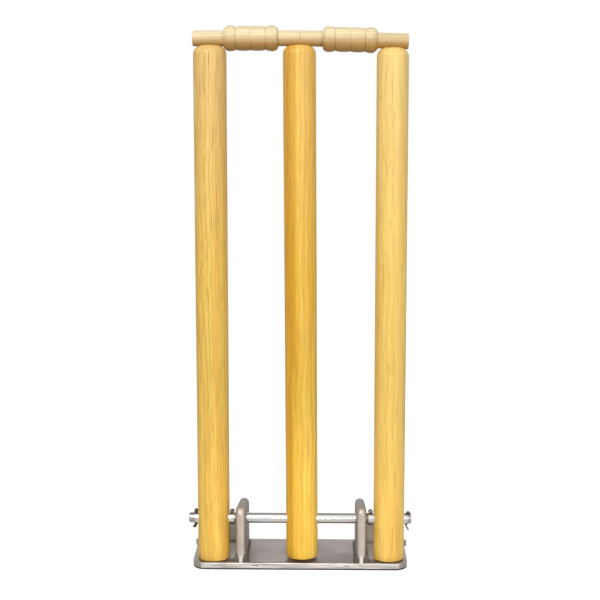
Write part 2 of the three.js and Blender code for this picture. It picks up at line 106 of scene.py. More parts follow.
# %% [markdown]
# ## Mesh helpers
#
# Nearly every piece here is a skin over rings of points: a turned post, a bent wire or a
# plate with soft edges. One helper joins the rings with quads and closes both ends with a
# fan. To be sure that the faces point outwards it works out the signed volume, the sum of
# the little pyramids from the origin to each face, and turns the faces over if it is
# negative. The finished mesh is shaded smooth, with its real corners kept sharp.

# %% Skins over rings
def signed_volume(points, faces):
    """Sum over triangles (a, b, c) of a . (b x c) / 6. It is positive if the faces look outwards."""
    a, b, c = points[faces[:, 0]], points[faces[:, 1]], points[faces[:, 2]]
    return float(np.einsum("ij,ij->i", a, np.cross(b, c)).sum() / 6)


def ring_faces(rows, columns):
    """Quads between neighbouring rings, where point j of ring i has number i * columns + j."""
    i, j = np.meshgrid(np.arange(rows - 1), np.arange(columns), indexing="ij")
    near, far = i * columns, (i + 1) * columns
    side = (j + 1) % columns
    return np.stack([near + j, near + side, far + side, far + j], -1).reshape(-1, 4)


def make_piece(name, points, quads, triangles, sharp_degrees=35):
    """A mesh object from point and face arrays, smooth apart from edges sharper than the angle."""
    every = np.concatenate([quads[:, [0, 1, 2]], quads[:, [0, 2, 3]], triangles])
    if signed_volume(points, every) < 0:
        quads, triangles = quads[:, ::-1], triangles[:, ::-1]
    mesh = bpy.data.meshes.new(name)
    mesh.from_pydata(points.tolist(), [], quads.tolist() + triangles.tolist())
    mesh.shade_smooth()
    mesh.set_sharp_from_angle(angle=math.radians(sharp_degrees))
    piece = bpy.data.objects.new(name, mesh)
    bpy.context.scene.collection.objects.link(piece)
    return piece


def skin(name, rings, sharp_degrees=35):
    """A closed skin over rings[i, j], with a fan from each end ring to its mean point."""
    rows, columns = rings.shape[:2]
    ends = np.stack([rings[0].mean(0), rings[-1].mean(0)])
    points = np.concatenate([rings.reshape(-1, 3), ends])
    j = np.arange(columns)
    side = (j + 1) % columns
    first = np.stack([side, j, np.full(columns, rows * columns)], -1)
    last_ring = (rows - 1) * columns
    last = np.stack([last_ring + j, last_ring + side, np.full(columns, rows * columns + 1)], -1)
    return make_piece(name, points, ring_faces(rows, columns), np.concatenate([first, last]), sharp_degrees)


print("mesh helpers ready")

# %% [markdown]
# ## Turned shapes and drilled holes
#
# Stumps, bails, the rod and the screw shanks all come off a lathe: a profile of radius
# against distance, swept once round an axis. Holes are drilled afterwards, as in the
# workshop, by taking a cylinder away with a Boolean modifier whose result is kept. The
# drill is thrown away at once, so no modifier stays on the piece.

# %% Lathe and drill
def lathe(profile, start, way, sides):
    """Rings of start + way * along + radius * (cos t * u + sin t * v), with u and v square to way."""
    way = np.array(way, float) / np.linalg.norm(way)
    u = np.cross(way, (0.0, 1.0, 0.0) if abs(way[1]) < 0.9 else (1.0, 0.0, 0.0))
    u /= np.linalg.norm(u)
    v = np.cross(way, u)
    t = np.linspace(0, 2 * math.pi, sides, endpoint=False)
    circle = np.cos(t)[:, None] * u + np.sin(t)[:, None] * v
    radius, along = np.array(profile, float).T
    centres = np.array(start, float) + along[:, None] * way
    return centres[:, None, :] + radius[:, None, None] * circle[None, :, :]


def drill(piece, cutters, sharp_degrees=35):
    """Takes each cutter's solid away from the piece, keeps the result, and removes the cutters."""
    for cutter in cutters:
        cut = piece.modifiers.new("cut", "BOOLEAN")
        cut.operation = "DIFFERENCE"
        cut.solver = "EXACT"
        cut.object = cutter
    view_layer = bpy.context.evaluated_depsgraph_get()
    done = bpy.data.meshes.new_from_object(piece.evaluated_get(view_layer))
    piece.modifiers.clear()
    before = len(piece.data.vertices)
    piece.data = done
    done.shade_smooth()
    done.set_sharp_from_angle(angle=math.radians(sharp_degrees))
    for cutter in cutters:
        bpy.data.objects.remove(cutter)
    print(piece.name, "drilled,", before, "->", len(done.vertices), "points")
    return piece


def bar_cutter(centre, way, radius, length, sides=72):
    """A plain round bar to cut with, centred on a point."""
    start = np.array(centre, float) - np.array(way, float) * length / 2
    return skin("cutter", lathe([(radius, 0), (radius, length)], start, way, sides))


# %% [markdown]
# ## Node helper for finishes
#
# Finishes are built from nodes. A small helper adds a node, sets its options and either
# sets or links its inputs, so that each finish below reads from top to bottom like a
# recipe. All patterns read Object coordinates, so they are fixed to the piece.

# %% Node helper
def start_finish(name):
    """A new material with only its output and a Principled shader, and its Object coordinates."""
    finish = bpy.data.materials.new(name)
    finish.use_nodes = True
    tree = finish.node_tree
    return finish, tree, tree.nodes["Principled BSDF"], object_place(tree)


def object_place(tree):
    """The Object coordinates, in metres."""
    return tree.nodes.new("ShaderNodeTexCoord").outputs["Object"]


def connect(tree, socket, value):
    """Links a socket's value to the socket, or sets a plain one. A colour of three gets its alpha."""
    if isinstance(value, bpy.types.NodeSocket):
        tree.links.new(value, socket)
    else:
        is_colour = socket.type == "RGBA" and isinstance(value, tuple) and len(value) == 3
        socket.default_value = (*value, 1) if is_colour else value


def add(tree, kind, options=None, **inputs):
    """Adds a node. Its inputs are given by name, or as i0, i1 and so on by their number."""
    made = tree.nodes.new(kind)
    for key, value in (options or {}).items():
        setattr(made, key, value)
    for key, value in inputs.items():
        by_number = key[0] == "i" and key[1:].isdigit()
        connect(tree, made.inputs[int(key[1:]) if by_number else key], value)
    return made


def ramp(tree, factor, stops):
    """A colour ramp from (position, grey or colour) pairs."""
    made = add(tree, "ShaderNodeValToRGB", Fac=factor)
    elements = made.color_ramp.elements
    while len(elements) < len(stops):
        elements.new(0.5)
    for element, (position, value) in zip(elements, stops):
        element.position = position
        colour = (value, value, value) if isinstance(value, (int, float)) else value
        element.color = (*colour, 1)
    return made.outputs["Color"]


def blended(tree, factor, first, second, mode="MIX"):
    """First and second mixed by a factor, as colours."""
    options = {"data_type": "RGBA", "blend_type": mode}
    return add(tree, "ShaderNodeMix", options, Factor=factor, i6=first, i7=second).outputs[2]


def stretched_noise(tree, place, scales, detail=3.0, shift=(0, 0, 0)):
    """Noise whose grains are 1 / scale metres long along each axis."""
    mapped = add(tree, "ShaderNodeMapping", Vector=place, Scale=scales, Location=shift)
    return add(tree, "ShaderNodeTexNoise", Vector=mapped.outputs[0], Scale=1.0, Detail=detail).outputs[0]


print("node helper ready")

# %% [markdown]
# ## Masks for worn places and for painted light and shade
#
# Real steel and wood aren't the same all over: a rod is duller at its ends. Light and shade
# are painted the same way, such as painted shade beside a weld or a painted highlight. Such a
# place is marked by a mask, which is 0 where the finish stays as it is and 1 where the place
# begins. Each mask fades in smoothly along one axis, and masks multiplied together leave only
# the part that they all share. A patch then lays another colour there, or tints what is there already.

# %% Masks and patches
def fade(finish, axis, clear, full, about=None):
    """A mask that goes smoothly from 0 at clear to 1 at full, both places in metres along an axis.

    With about, clear and full are distances from the two planes at plus and minus about.
    """
    tree = finish.node_tree
    value = add(tree, "ShaderNodeSeparateXYZ", Vector=object_place(tree)).outputs[axis]
    if about is not None:
        away = add(tree, "ShaderNodeMath", {"operation": "ABSOLUTE"}, i0=value).outputs[0]
        past = add(tree, "ShaderNodeMath", {"operation": "SUBTRACT"}, i0=away, i1=about).outputs[0]
        value = add(tree, "ShaderNodeMath", {"operation": "ABSOLUTE"}, i0=past).outputs[0]
    options = {"interpolation_type": "SMOOTHSTEP"}
    return add(tree, "ShaderNodeMapRange", options, i0=value, i1=clear, i2=full).outputs[0]


def shared(finish, first, *others):
    """The product of masks, which is 1 only where all of them are."""
    for other in others:
        options = {"operation": "MULTIPLY"}
        first = add(finish.node_tree, "ShaderNodeMath", options, i0=first, i1=other).outputs[0]
    return first


def patched(finish, mask, colour, metal=None, roughness=None, mode="MIX"):
    """Lays a colour over the finish where the mask is 1, or tints it there if mode is MULTIPLY.

    A metal or a roughness given with it holds there too.
    """
    tree = finish.node_tree
    shader = tree.nodes["Principled BSDF"]
    old = shader.inputs["Base Color"].links[0].from_socket
    tree.links.new(blended(tree, mask, old, colour, mode), shader.inputs["Base Color"])
    for name, value in (("Metallic", metal), ("Roughness", roughness)):
        if value is not None:
            socket = shader.inputs[name]
            old = socket.links[0].from_socket if socket.links else socket.default_value
            made = add(tree, "ShaderNodeMix", {"data_type": "FLOAT"}, i0=mask, i2=old, i3=value)
            tree.links.new(made.outputs[0], socket)


print("masks ready")

# %% [markdown]
# ## Varnished wood
#
# Each stump is cut from a board, so its rings run nearly straight down it and drift
# sideways where the tree leaned. A flat wood photo would do, but rings worked out in
# space stay right on the dome, in the bore and round the back. Rings are circles about a
# far-off tree axis, squeezed along the grain. Fine fibres, short dark pores and slow
# changes of tone go on top, and the fibres raise a faint relief in the varnish. No grain is
# dead straight, so a slow noise swings all of it to and fro. The posts are paler towards
# their heads, and the middle one has a deeper yellow strip down its front, on the left.

# %% Wood finish
GRAIN_SQUEEZE = 0.09  # how much slower the rings change along the grain than across it
WAVE_PER_METRE = 20   # what the Wave Texture multiplies a distance by
PALE_SHADE = 0.9      # the deeper tone of paled wood, as a share of the paler one
PORE_SHADE = (0.62, 0.42, 0.60)  # a pore's colour, as shares of the rings' colour


def wood_finish(name, pale, deep, ring, heart, lean, ring_size, marks, paler_top, sway, along="z", seed=0.0):
    """Rings of ring_size about the axis through heart, leaning, on tones from pale to deep.

    marks gives how strong the rings, the fibres and the pores are, from 0 to 1. The paling
    argument is a low height, a high height and the colour that the wood reaches as it rises
    between them; on the bails this paling is painted light, a lit top over a shaded underside.
    The grain is drawn at place + noise * sway, so it swings to and fro by up to that vector.
    """
    finish, tree, shader, true_place = start_finish(name)
    swing = stretched_noise(tree, true_place, (16, 16, 8), 1.0, shift=(23.0 + seed,) * 3)
    place = add(tree, "ShaderNodeVectorMath", {"operation": "MULTIPLY_ADD"},
                i0=swing, i1=sway, i2=true_place).outputs[0]
    ring_share, fibre_share, pore_share = marks
    squeeze = (1, 1, GRAIN_SQUEEZE) if along == "z" else (GRAIN_SQUEEZE, 1, 1)
    level = (0, 0, 0) if along == "z" else (0, math.pi / 2, 0)
    mapped = add(tree, "ShaderNodeMapping", Vector=place, Scale=squeeze, Rotation=level)
    tree_axis = add(tree, "ShaderNodeMapping", Vector=mapped.outputs[0],
                    Location=(*heart, seed), Rotation=lean)
    rings = add(tree, "ShaderNodeTexWave",
                {"wave_type": "RINGS", "rings_direction": "Z", "wave_profile": "SAW"},
                Vector=tree_axis.outputs[0], Scale=2 * math.pi / (WAVE_PER_METRE * ring_size),
                Distortion=3.2, Detail=2.0)
    rings.inputs["Detail Scale"].default_value = 0.35
    late = ramp(tree, rings.outputs["Fac"],
                [(0.0, 0.0), (0.45, 0.12), (0.86, 0.75), (0.97, 1.0), (1.0, 0.2)])

    def grain(fine, long, detail, shift):
        scales = (fine, fine, long) if along == "z" else (long, fine, fine)
        return stretched_noise(tree, place, scales, detail, shift=(shift + seed,) * 3)

    tone = ramp(tree, grain(85, 2.6, 2.0, 3.1), [(0.38, 0.0), (0.62, 1.0)])
    base = blended(tree, tone, pale, deep)
    height = add(tree, "ShaderNodeSeparateXYZ", Vector=true_place).outputs["Z"]
    rise = add(tree, "ShaderNodeMapRange", i0=height, i1=paler_top[0], i2=paler_top[1]).outputs[0]
    paled = blended(tree, tone, paler_top[2], tuple(PALE_SHADE * c for c in paler_top[2]))
    base = blended(tree, rise, base, paled)
    ring_amount = add(tree, "ShaderNodeMath", {"operation": "MULTIPLY"}, i0=late, i1=ring_share)
    ringed = blended(tree, ring_amount.outputs[0], base, ring)
    fibres = ramp(tree, grain(1100, 26, 4.0, 7.7), [(0.36, 1 - fibre_share), (0.56, 1.0)])
    fibred = blended(tree, 1.0, ringed, fibres, "MULTIPLY")
    pores = ramp(tree, grain(620, 21, 1.0, 11.3), [(0.655, 0.0), (0.70, pore_share)])
    pored = blended(tree, pores, fibred, tuple(shade * c for shade, c in zip(PORE_SHADE, ring)))
    tree.links.new(pored, shader.inputs["Base Color"])
    gloss = ramp(tree, grain(150, 12, 2.0, 1.9), [(0.3, 0.40), (0.7, 0.52)])
    tree.links.new(gloss, shader.inputs["Roughness"])
    shader.inputs["Specular IOR Level"].default_value = 0.4
    relief = add(tree, "ShaderNodeBump", Height=fibres, Strength=0.12, Distance=0.0003)
    tree.links.new(relief.outputs[0], shader.inputs["Normal"])
    return finish


HEAD = (0.42, 0.70)           # the heights between which the posts turn paler
# On the bails the paling is painted light: a lit top over a shaded underside.
BAIL_PAINTED_LIGHT = (0.711, 0.7265)  # the same for the bails
woods = {
    "left": wood_finish(
        "honey_wood_varnish", pale=(0.88, 0.58, 0.120), deep=(0.80, 0.475, 0.074), ring=(0.60, 0.31, 0.04),
        heart=(0.055, -0.03), lean=(0, 0.10, 0), ring_size=0.0041, marks=(0.45, 0.20, 0.55),
        paler_top=(*HEAD, (0.87, 0.585, 0.21)), sway=(0.009, 0.006, 0), seed=0.4),
    "middle": wood_finish(
        "amber_wood_varnish", pale=(0.91, 0.60, 0.098), deep=(0.77, 0.445, 0.045), ring=(0.64, 0.31, 0.022),
        heart=(-0.09, -0.02), lean=(0, -0.06, 0), ring_size=0.0062, marks=(0.42, 0.16, 0.35),
        paler_top=(*HEAD, (0.87, 0.55, 0.125)), sway=(0.009, 0.006, 0), seed=2.3),
    "right": wood_finish(
        "pale_wood_varnish", pale=(0.92, 0.64, 0.175), deep=(0.85, 0.53, 0.105), ring=(0.70, 0.41, 0.065),
        heart=(-0.03, -0.05), lean=(0.05, 0.16, 0), ring_size=0.0075, marks=(0.34, 0.12, 0.42),
        paler_top=(*HEAD, (0.91, 0.65, 0.225)), sway=(0.018, 0.010, 0), seed=5.2),
}
# The bails' tones are painted light: the pale and deep tones here are their shaded underside, and they rise
# to the creamy colour of a lit top.
bail_wood = wood_finish(
    "bail_wood_turned", pale=(0.51, 0.30, 0.088), deep=(0.45, 0.255, 0.07), ring=(0.38, 0.21, 0.07),
    heart=(0.03, 0.05), lean=(0.02, 0.05, 0), ring_size=0.0048, marks=(0.20, 0.12, 0.15),
    paler_top=(*BAIL_PAINTED_LIGHT, (0.86, 0.72, 0.44)), sway=(0, 0.002, 0.001), along="x", seed=1.1)

amber = woods["middle"]
front_left = shared(amber, fade(amber, "X", -0.0035, -0.0095), fade(amber, "Y", 0.004, -0.004))
patched(amber, front_left, (0.93, 0.84, 0.56), mode="MULTIPLY")
print("wood finishes:", [finish.name for finish in (*woods.values(), bail_wood)])

# %% [markdown]
# ## Stumps
#
# A stump is a plain round post with a soft dome. On the lathe the dome is a quarter of an
# ellipse round a small flat, and the foot has a fine chamfer. After turning, the post is
# drilled across for the rod, grooved on top for the bails, and rounded behind the heel so
# that the foot can swing over the plate.

# %% Turn the stumps
DOME_DEPTH = 0.012
DOME_FLAT = 0.009
FOOT_EDGE = 0.0008
BAIL_SINK = 0.0019
SPIGOT_RADIUS = 0.01025
SEAT_GAP = 0.0003
BAIL_MEETING_X = -0.001
HEEL_GAP = 0.0005
HEEL_SWING = PIVOT_Z - PLATE_TOP - HEEL_GAP
HEEL_TURN = 32  # degrees behind the foot's middle at which the swing circle has left the wood
CUT_BEHIND = 0.01
CUT_FLOOR = 0.002
CUT_HALF_WIDTH = 0.03
ROD_CUT_LENGTH = 0.08
GROOVE_CUT_LENGTH = 0.34


def bail_line(side):
    """Where a bail's middle line starts, at the bails' meeting point, and which way it runs."""
    height = {s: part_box("stump_" + s)[1].z - BAIL_SINK + SPIGOT_RADIUS + SEAT_GAP for s in SIDES}
    rise = height[side] - height["middle"]
    top_shift = (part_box("stump_" + side)[1].z - PIVOT_Z) * math.tan(math.radians(STUMP_LEAN[side]))
    inner = np.array([BAIL_MEETING_X, 0, height["middle"]])
    way = np.array([STUMP_X[side] + top_shift - BAIL_MEETING_X, 0, rise])
    return inner, way / np.linalg.norm(way)


def stump_profile(radius, length):
    """Chamfered foot, straight side, then flat + reach * cos a against shoulder + depth * sin a."""
    a = np.linspace(0, math.pi / 2, 22)
    dome = np.stack([DOME_FLAT + (radius - DOME_FLAT) * np.cos(a),
                     length - DOME_DEPTH * (1 - np.sin(a))], -1)
    side = [(radius, z) for z in np.linspace(FOOT_EDGE, length - DOME_DEPTH, 60)[:-1]]
    top = [(DOME_FLAT * share, length) for share in (0.8, 0.4)]
    return np.concatenate([[(radius - FOOT_EDGE, 0)], side, dome, top])


def heel_cutter(x):
    """A bar across the heel whose section lies between the swing circle and a corner behind it."""
    a = np.linspace(0.02, math.radians(HEEL_TURN), 24)
    arc = np.stack([HEEL_SWING * np.sin(a), PIVOT_Z - HEEL_SWING * np.cos(a)], -1)
    behind = arc[-1, 0] + CUT_BEHIND
    section = np.concatenate([arc, [(behind, arc[-1, 1]), (behind, CUT_FLOOR), (arc[0, 0], CUT_FLOOR)]])
    rings = [np.column_stack([np.full(len(section), x + sign * CUT_HALF_WIDTH), section]) for sign in (-1, 1)]
    return skin("cutter", np.array(rings))


def make_stump(side):
    """Turns a post that leans about the rod, and cuts its bore, its heel and its grooves."""
    low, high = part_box("stump_" + side)
    lean = math.radians(STUMP_LEAN[side])
    way = np.array([math.sin(lean), 0, math.cos(lean)])
    foot = np.array([STUMP_X[side], 0, PIVOT_Z]) - way * (PIVOT_Z - low.z)
    profile = stump_profile(STUMP_RADIUS[side], high.z - low.z)
    post = skin("turned_stump_" + side, lathe(profile, foot, way, 144), 50)
    pivot = (STUMP_X[side], 0, PIVOT_Z)
    cutters = [bar_cutter(pivot, (1, 0, 0), ROD_RADIUS + RUNNING_GAP, ROD_CUT_LENGTH),
               heel_cutter(STUMP_X[side])]
    for outer in (("left", "right") if side == "middle" else (side,)):
        inner, line = bail_line(outer)
        cutters.append(bar_cutter(inner, line, SPIGOT_RADIUS + SEAT_GAP, GROOVE_CUT_LENGTH, 96))
    drill(post, cutters, 50)
    post.data.materials.clear()
    post.data.materials.append(woods[side])
    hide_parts("stump_" + side)
    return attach(post, "stump_" + side)


stump_posts = [make_stump(side) for side in SIDES]
print("stumps:", [len(post.data.polygons) for post in stump_posts], "faces")

# %% [markdown]
# ## Bails
#
# Each bail is one turned piece: a long spigot, a barrel of four swellings and a short
# spigot. Between two grooves the radius rises and falls as a power of a sine. A power
# under one makes the round beads and sharp grooves of a turning tool, and a power over
# two makes the sloped outer shoulders.

# %% Turn the bails
BARREL = 0.0724
LONG_SPIGOT = 0.0402
BARREL_START = 0.0292  # how far the barrel starts from where the bails meet
MEETING_GAP = 0.00006
CREASE = 0.0098
COLLAR = 0.0110
SPIGOT_EDGE = 0.0009
MEETING_EDGE = 0.00025
GROOVE_SHARE = 0.229
NECK_LENGTH = 0.0012
SIDE_GROOVE = 0.0142
MIDDLE_GROOVE = 0.0148
VALLEYS = [  # share of the barrel, radius, power of the flank beside it
    (0.0, CREASE, 0.8), (GROOVE_SHARE, SIDE_GROOVE, 0.9), (0.5, MIDDLE_GROOVE, 0.8),
    (1 - GROOVE_SHARE, SIDE_GROOVE, 0.9), (1.0, COLLAR, 2.1)]
CRESTS = [0.01675, 0.0161, 0.0161, 0.01675]


def swelling(first, second, crest, steps=22):
    """Radius = floor + (crest - floor) * sin(a) ** power, with a from 0 to half a turn."""
    a = np.linspace(0, math.pi, steps)
    share = (1 - np.cos(a)) / 2
    floor = first[1] + (second[1] - first[1]) * share
    power = np.where(share < 0.5, first[2], second[2])
    radius = floor + (crest - floor) * np.clip(np.sin(a), 0, 1) ** power
    return np.stack([radius, first[0] + (second[0] - first[0]) * share], -1)


def bail_profile():
    """Short spigot, barrel and long spigot, with ends rounded by r * (1 - sin a) and r * (1 - cos a)."""
    barrel = np.concatenate([
        swelling(first, second, crest)[(0 if i == 0 else 1):]
        for i, (first, second, crest) in enumerate(zip(VALLEYS, VALLEYS[1:], CRESTS))])
    barrel[:, 1] = BARREL_START + barrel[:, 1] * BARREL
    end = BARREL_START + BARREL + LONG_SPIGOT
    corner = np.linspace(0, math.pi / 2, 6)
    near = np.stack([SPIGOT_RADIUS - MEETING_EDGE * (1 - np.sin(corner)),
                     MEETING_GAP + MEETING_EDGE * (1 - np.cos(corner))], -1)
    far = np.stack([SPIGOT_RADIUS - SPIGOT_EDGE * (1 - np.cos(corner)),
                    end - SPIGOT_EDGE * (1 - np.sin(corner))], -1)
    cap = SPIGOT_RADIUS * 0.55
    near_neck = (SPIGOT_RADIUS, BARREL_START - NECK_LENGTH)
    far_neck = (SPIGOT_RADIUS, BARREL_START + BARREL + NECK_LENGTH)
    return np.concatenate([[(cap, MEETING_GAP)], near, [near_neck], barrel, [far_neck], far, [(cap, end)]])


def make_bail(side):
    """Turns a bail along its line over two stumps."""
    inner, way = bail_line(side)
    piece = skin("turned_bail_" + side, lathe(bail_profile(), inner, way, 112), 40)
    piece.data.materials.append(bail_wood)
    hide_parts("bail_" + side)
    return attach(piece, "bail_" + side)


bails = [make_bail(side) for side in ("left", "right")]
print("bails:", [len(piece.data.polygons) for piece in bails], "faces")

# %% [markdown]
# ## Steel finishes
#
# The plate, brackets and stops are bare steel with handling marks: a slow mottle, faint
# lines from brushing and a few specks. The rod is brighter and smoother, the wires are
# duller, and the welds are dark and rough from heat. One function makes them all, and the
# cells after it add what is special to each piece.

# %% Steel finish
def steel_finish(name, colour, dark, roughness, brushed, mottle=28.0, metal=1.0, specks=0.4):
    """Metal between two greys by mottle and specks, with brushing lines along one direction."""
    finish, tree, shader, place = start_finish(name)
    cloud = ramp(tree, stretched_noise(tree, place, (mottle,) * 3, 4.0), [(0.34, 0.0), (0.66, 1.0)])
    patch = stretched_noise(tree, place, (mottle * 0.3,) * 3, 2.0, shift=(4.0, 1.0, 2.0))
    base = blended(tree, cloud, colour, tuple(c * 0.88 for c in colour))
    worn = blended(tree, ramp(tree, patch, [(0.42, 0.0), (0.75, 0.45)]), base, dark)
    lines = stretched_noise(tree, place, brushed, 3.0, shift=(9.0, 3.0, 5.0))
    lined = blended(tree, 1.0, worn, ramp(tree, lines, [(0.3, 0.90), (0.62, 1.0)]), "MULTIPLY")
    speck = ramp(tree, stretched_noise(tree, place, (420.0,) * 3, 2.0), [(0.70, 0.0), (0.76, specks)])
    done = blended(tree, speck, lined, dark)
    tree.links.new(done, shader.inputs["Base Color"])
    shader.inputs["Metallic"].default_value = metal
    spread = ramp(tree, cloud, [(0.0, roughness - 0.05), (1.0, roughness + 0.07)])
    tree.links.new(spread, shader.inputs["Roughness"])
    relief = add(tree, "ShaderNodeBump", Height=lines, Strength=0.10, Distance=0.0002)
    tree.links.new(relief.outputs[0], shader.inputs["Normal"])
    return finish


ALONG_X = (14.0, 900.0, 900.0)
ALONG_Z = (900.0, 900.0, 14.0)
wire_steel = steel_finish("wire_steel_finish", (0.15, 0.135, 0.125), (0.06, 0.05, 0.045), 0.36, ALONG_Z)
weld_steel = steel_finish("weld_steel_finish", (0.115, 0.095, 0.075), (0.05, 0.04, 0.03), 0.5,
                          (300.0,) * 3, mottle=160.0, metal=0.6)
print("wire and weld finishes ready")

# %% [markdown]
# ## Finish of the base plate
#
# The front face of the bar is painted brighter than its top, in long streaks of painted
# highlight, and painted shade lies at the lower edge of each of the two large dents. Its lower
# edge carries a painted contact shadow, nearly black. On top, the strips between the outer
# stumps and the brackets are painted paler, as painted light where these parts shade the plate.

# %% Base plate's finish
PLATE_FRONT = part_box("base_plate")[0].y
DENT_SHADE_X = 0.0629
DENT_SHADE_Z = 0.0064
PAINTED_LIGHT_X = 0.0990


def plate_finish():
    """Steel with a front face of painted highlight streaks, painted shade under the dents, a painted contact
    shadow along the lower edge and painted light on strips on top.
    """
    finish = steel_finish("plate_steel_finish", (0.42, 0.37, 0.345), (0.25, 0.21, 0.185), 0.42, ALONG_X)
    tree = finish.node_tree
    front_face = shared(finish, fade(finish, "Z", PLATE_TOP - 0.0002, PLATE_TOP - 0.0006),
                        fade(finish, "Y", PLATE_FRONT + 0.0015, PLATE_FRONT + 0.0006))
    # Painted highlight: the front face is laid brighter than the top, in long streaks.
    streaks = stretched_noise(tree, object_place(tree), (30.0, 200.0, 700.0))
    patched(finish, front_face, ramp(tree, streaks, [
        (0.30, (0.42, 0.38, 0.345)), (0.48, (0.56, 0.52, 0.48)), (0.62, (0.76, 0.72, 0.68))]))
    # Painted shade: a dark patch at the lower edge of each of the two large dents.
    dent_shade = shared(finish, fade(finish, "X", 0.0046, 0.0036, about=DENT_SHADE_X),
                   fade(finish, "Z", 0.0010, 0.0005, about=DENT_SHADE_Z), front_face)
    patched(finish, dent_shade, (0.10, 0.085, 0.07), 0.3, 0.6)
    # Painted contact shadow: the lowest few millimetres of the bar are laid nearly black.
    patched(finish, fade(finish, "Z", 0.0030, 0.0022), (0.035, 0.03, 0.02), 0.2, 0.6)
    # Painted light: the strips between the outer stumps and the brackets, which lie in their shade, are laid
    # pale and nearly without metal.
    painted_light_strip = shared(finish, fade(finish, "X", 0.0075, 0.0045, about=PAINTED_LIGHT_X),
                        fade(finish, "Y", -0.0130, 0.0040), fade(finish, "Y", 0.0600, 0.0570),
                        fade(finish, "Z", PLATE_TOP - 0.0006, PLATE_TOP - 0.0001))
    patched(finish, painted_light_strip, (0.74, 0.68, 0.63), 0.1, 0.6)
    return finish


plate_steel = plate_finish()
print("finish:", plate_steel.name)

# %% [markdown]
# ## Finish of the brackets
#
# A bracket's colour paints much of its light. Its nose is bright where it faces the front,
# and its crest is rougher and painted darker. At its foot a painted highlight lies in the
# middle, between two patches of painted shade where the nose meets the welds. Its flat
# sides and all behind the nose are painted dark, as painted shade.

# %% Brackets' finish
BRACKET_X = 0.083
# The patches in this table are painted shade in the corners where the nose meets the welds.
FOOT_SHADES = [  # the heights where a stain begins and is full, then its distances from the bracket's middle
    (0.0225, 0.0205, 0.0030, 0.0046), (0.0195, 0.0175, 0.0014, 0.0030)]


def bracket_finish():
    """Steel with a rougher crest painted dark, a painted highlight at the foot, painted shade beside that,
    and painted shade on the sides and behind the nose.
    """
    finish = steel_finish("bracket_steel_finish", (0.68, 0.60, 0.54), (0.38, 0.31, 0.255), 0.42, ALONG_Z)
    # Painted shade on the crest, which is also rougher; next, a painted highlight on the foot.
    patched(finish, fade(finish, "Z", 0.0735, 0.0775), (0.42, 0.37, 0.325), roughness=0.62)
    patched(finish, fade(finish, "Z", 0.0215, 0.0175), (0.76, 0.71, 0.66))
    # Painted shade where the nose meets the welds.
    for begins, is_full, inside, outside in FOOT_SHADES:
        foot_shade = shared(finish, fade(finish, "Z", begins, is_full),
                       fade(finish, "X", inside, outside, about=BRACKET_X))
        patched(finish, foot_shade, (0.20, 0.175, 0.15), 0.5)
    # Painted shade on the flat sides, and on all that lies behind the nose.
    patched(finish, fade(finish, "X", 0.0046, 0.0064, about=BRACKET_X), (0.235, 0.205, 0.165), 0.45, 0.5)
    patched(finish, fade(finish, "Y", -0.0135, -0.0105), (0.265, 0.24, 0.21), 0.5, 0.5)
    return finish


bracket_steel = bracket_finish()
print("finish:", bracket_steel.name)

# %% [markdown]
# ## Finishes of the rear stops and the rod
#
# The stops are painted pale and given little shine, as painted light in the shaded gaps
# beside the posts, but their outer ends are darker. The rod is bright, with duller ends and
# a ring of painted shade outside each bracket.

# %% Finishes of stops and rod
STOP_END = (0.1405, 0.1435)
ROD_END = (0.1462, 0.1480)
SHADE_RING_X = BRACKET_X + 0.0084

# Painted light: the stops are laid pale and nearly without metal, so that they read lit in the shaded gaps
# beside the posts.
stop_steel = steel_finish("stop_steel_finish", (0.84, 0.76, 0.65), (0.62, 0.54, 0.45), 0.5, ALONG_X,
                          mottle=60.0, metal=0.1)
patched(stop_steel, fade(stop_steel, "X", *STOP_END, about=0), (0.40, 0.355, 0.305))
rod_steel = steel_finish("rod_steel_finish", (0.80, 0.78, 0.76), (0.55, 0.52, 0.50), 0.16, ALONG_X,
                         specks=0.25)
patched(rod_steel, fade(rod_steel, "X", *ROD_END, about=0), (0.42, 0.39, 0.385), roughness=0.26)
# Painted shade on the rod where it leaves each bracket's outer side.
painted_shade_ring = fade(rod_steel, "X", 0.0022, 0.0014, about=SHADE_RING_X)
patched(rod_steel, painted_shade_ring, (0.20, 0.18, 0.16), roughness=0.4)
print("finishes:", stop_steel.name, rod_steel.name)

# %% [markdown]
# ## Plates with soft edges
#
# A flat bar has edges that catch the light, so each plate gets real round edges. It is
# built from a core outline that lies one edge radius inside the rim. The outline grows by
# r * sin a while it rises by r * (1 - cos a), which rolls the edge over in a quarter
# circle. The lower edge can have a radius of its own.

# %% Soft-edged plates
def outline_normals(outline):
    """Outward unit normals of a closed anticlockwise outline, from the neighbours of each point."""
    step = np.roll(outline, -1, 0) - np.roll(outline, 1, 0)
    normal = np.stack([step[:, 1], -step[:, 0]], -1)
    return normal / np.linalg.norm(normal, axis=1, keepdims=True)


def soft_plate_rings(core, normal, low, high, edge, steps=9, foot=None):
    """Rings (u, v, w): the core grown by r * sin a at low + r * (1 - cos a), and the like from above.

    r is the edge radius above and, where it is given, the foot radius below.
    """
    foot = foot or edge
    a = np.linspace(0, math.pi / 2, steps)
    grows = np.concatenate([edge - foot + foot * np.sin(a), edge * np.sin(a)[::-1]])
    heights = np.concatenate([low + foot * (1 - np.cos(a)), high - edge * (1 - np.cos(a))[::-1]])
    flat = core[None] + grows[:, None, None] * normal[None]
    levels = np.broadcast_to(heights[:, None, None], (*flat.shape[:2], 1))
    return np.concatenate([flat, levels], -1)


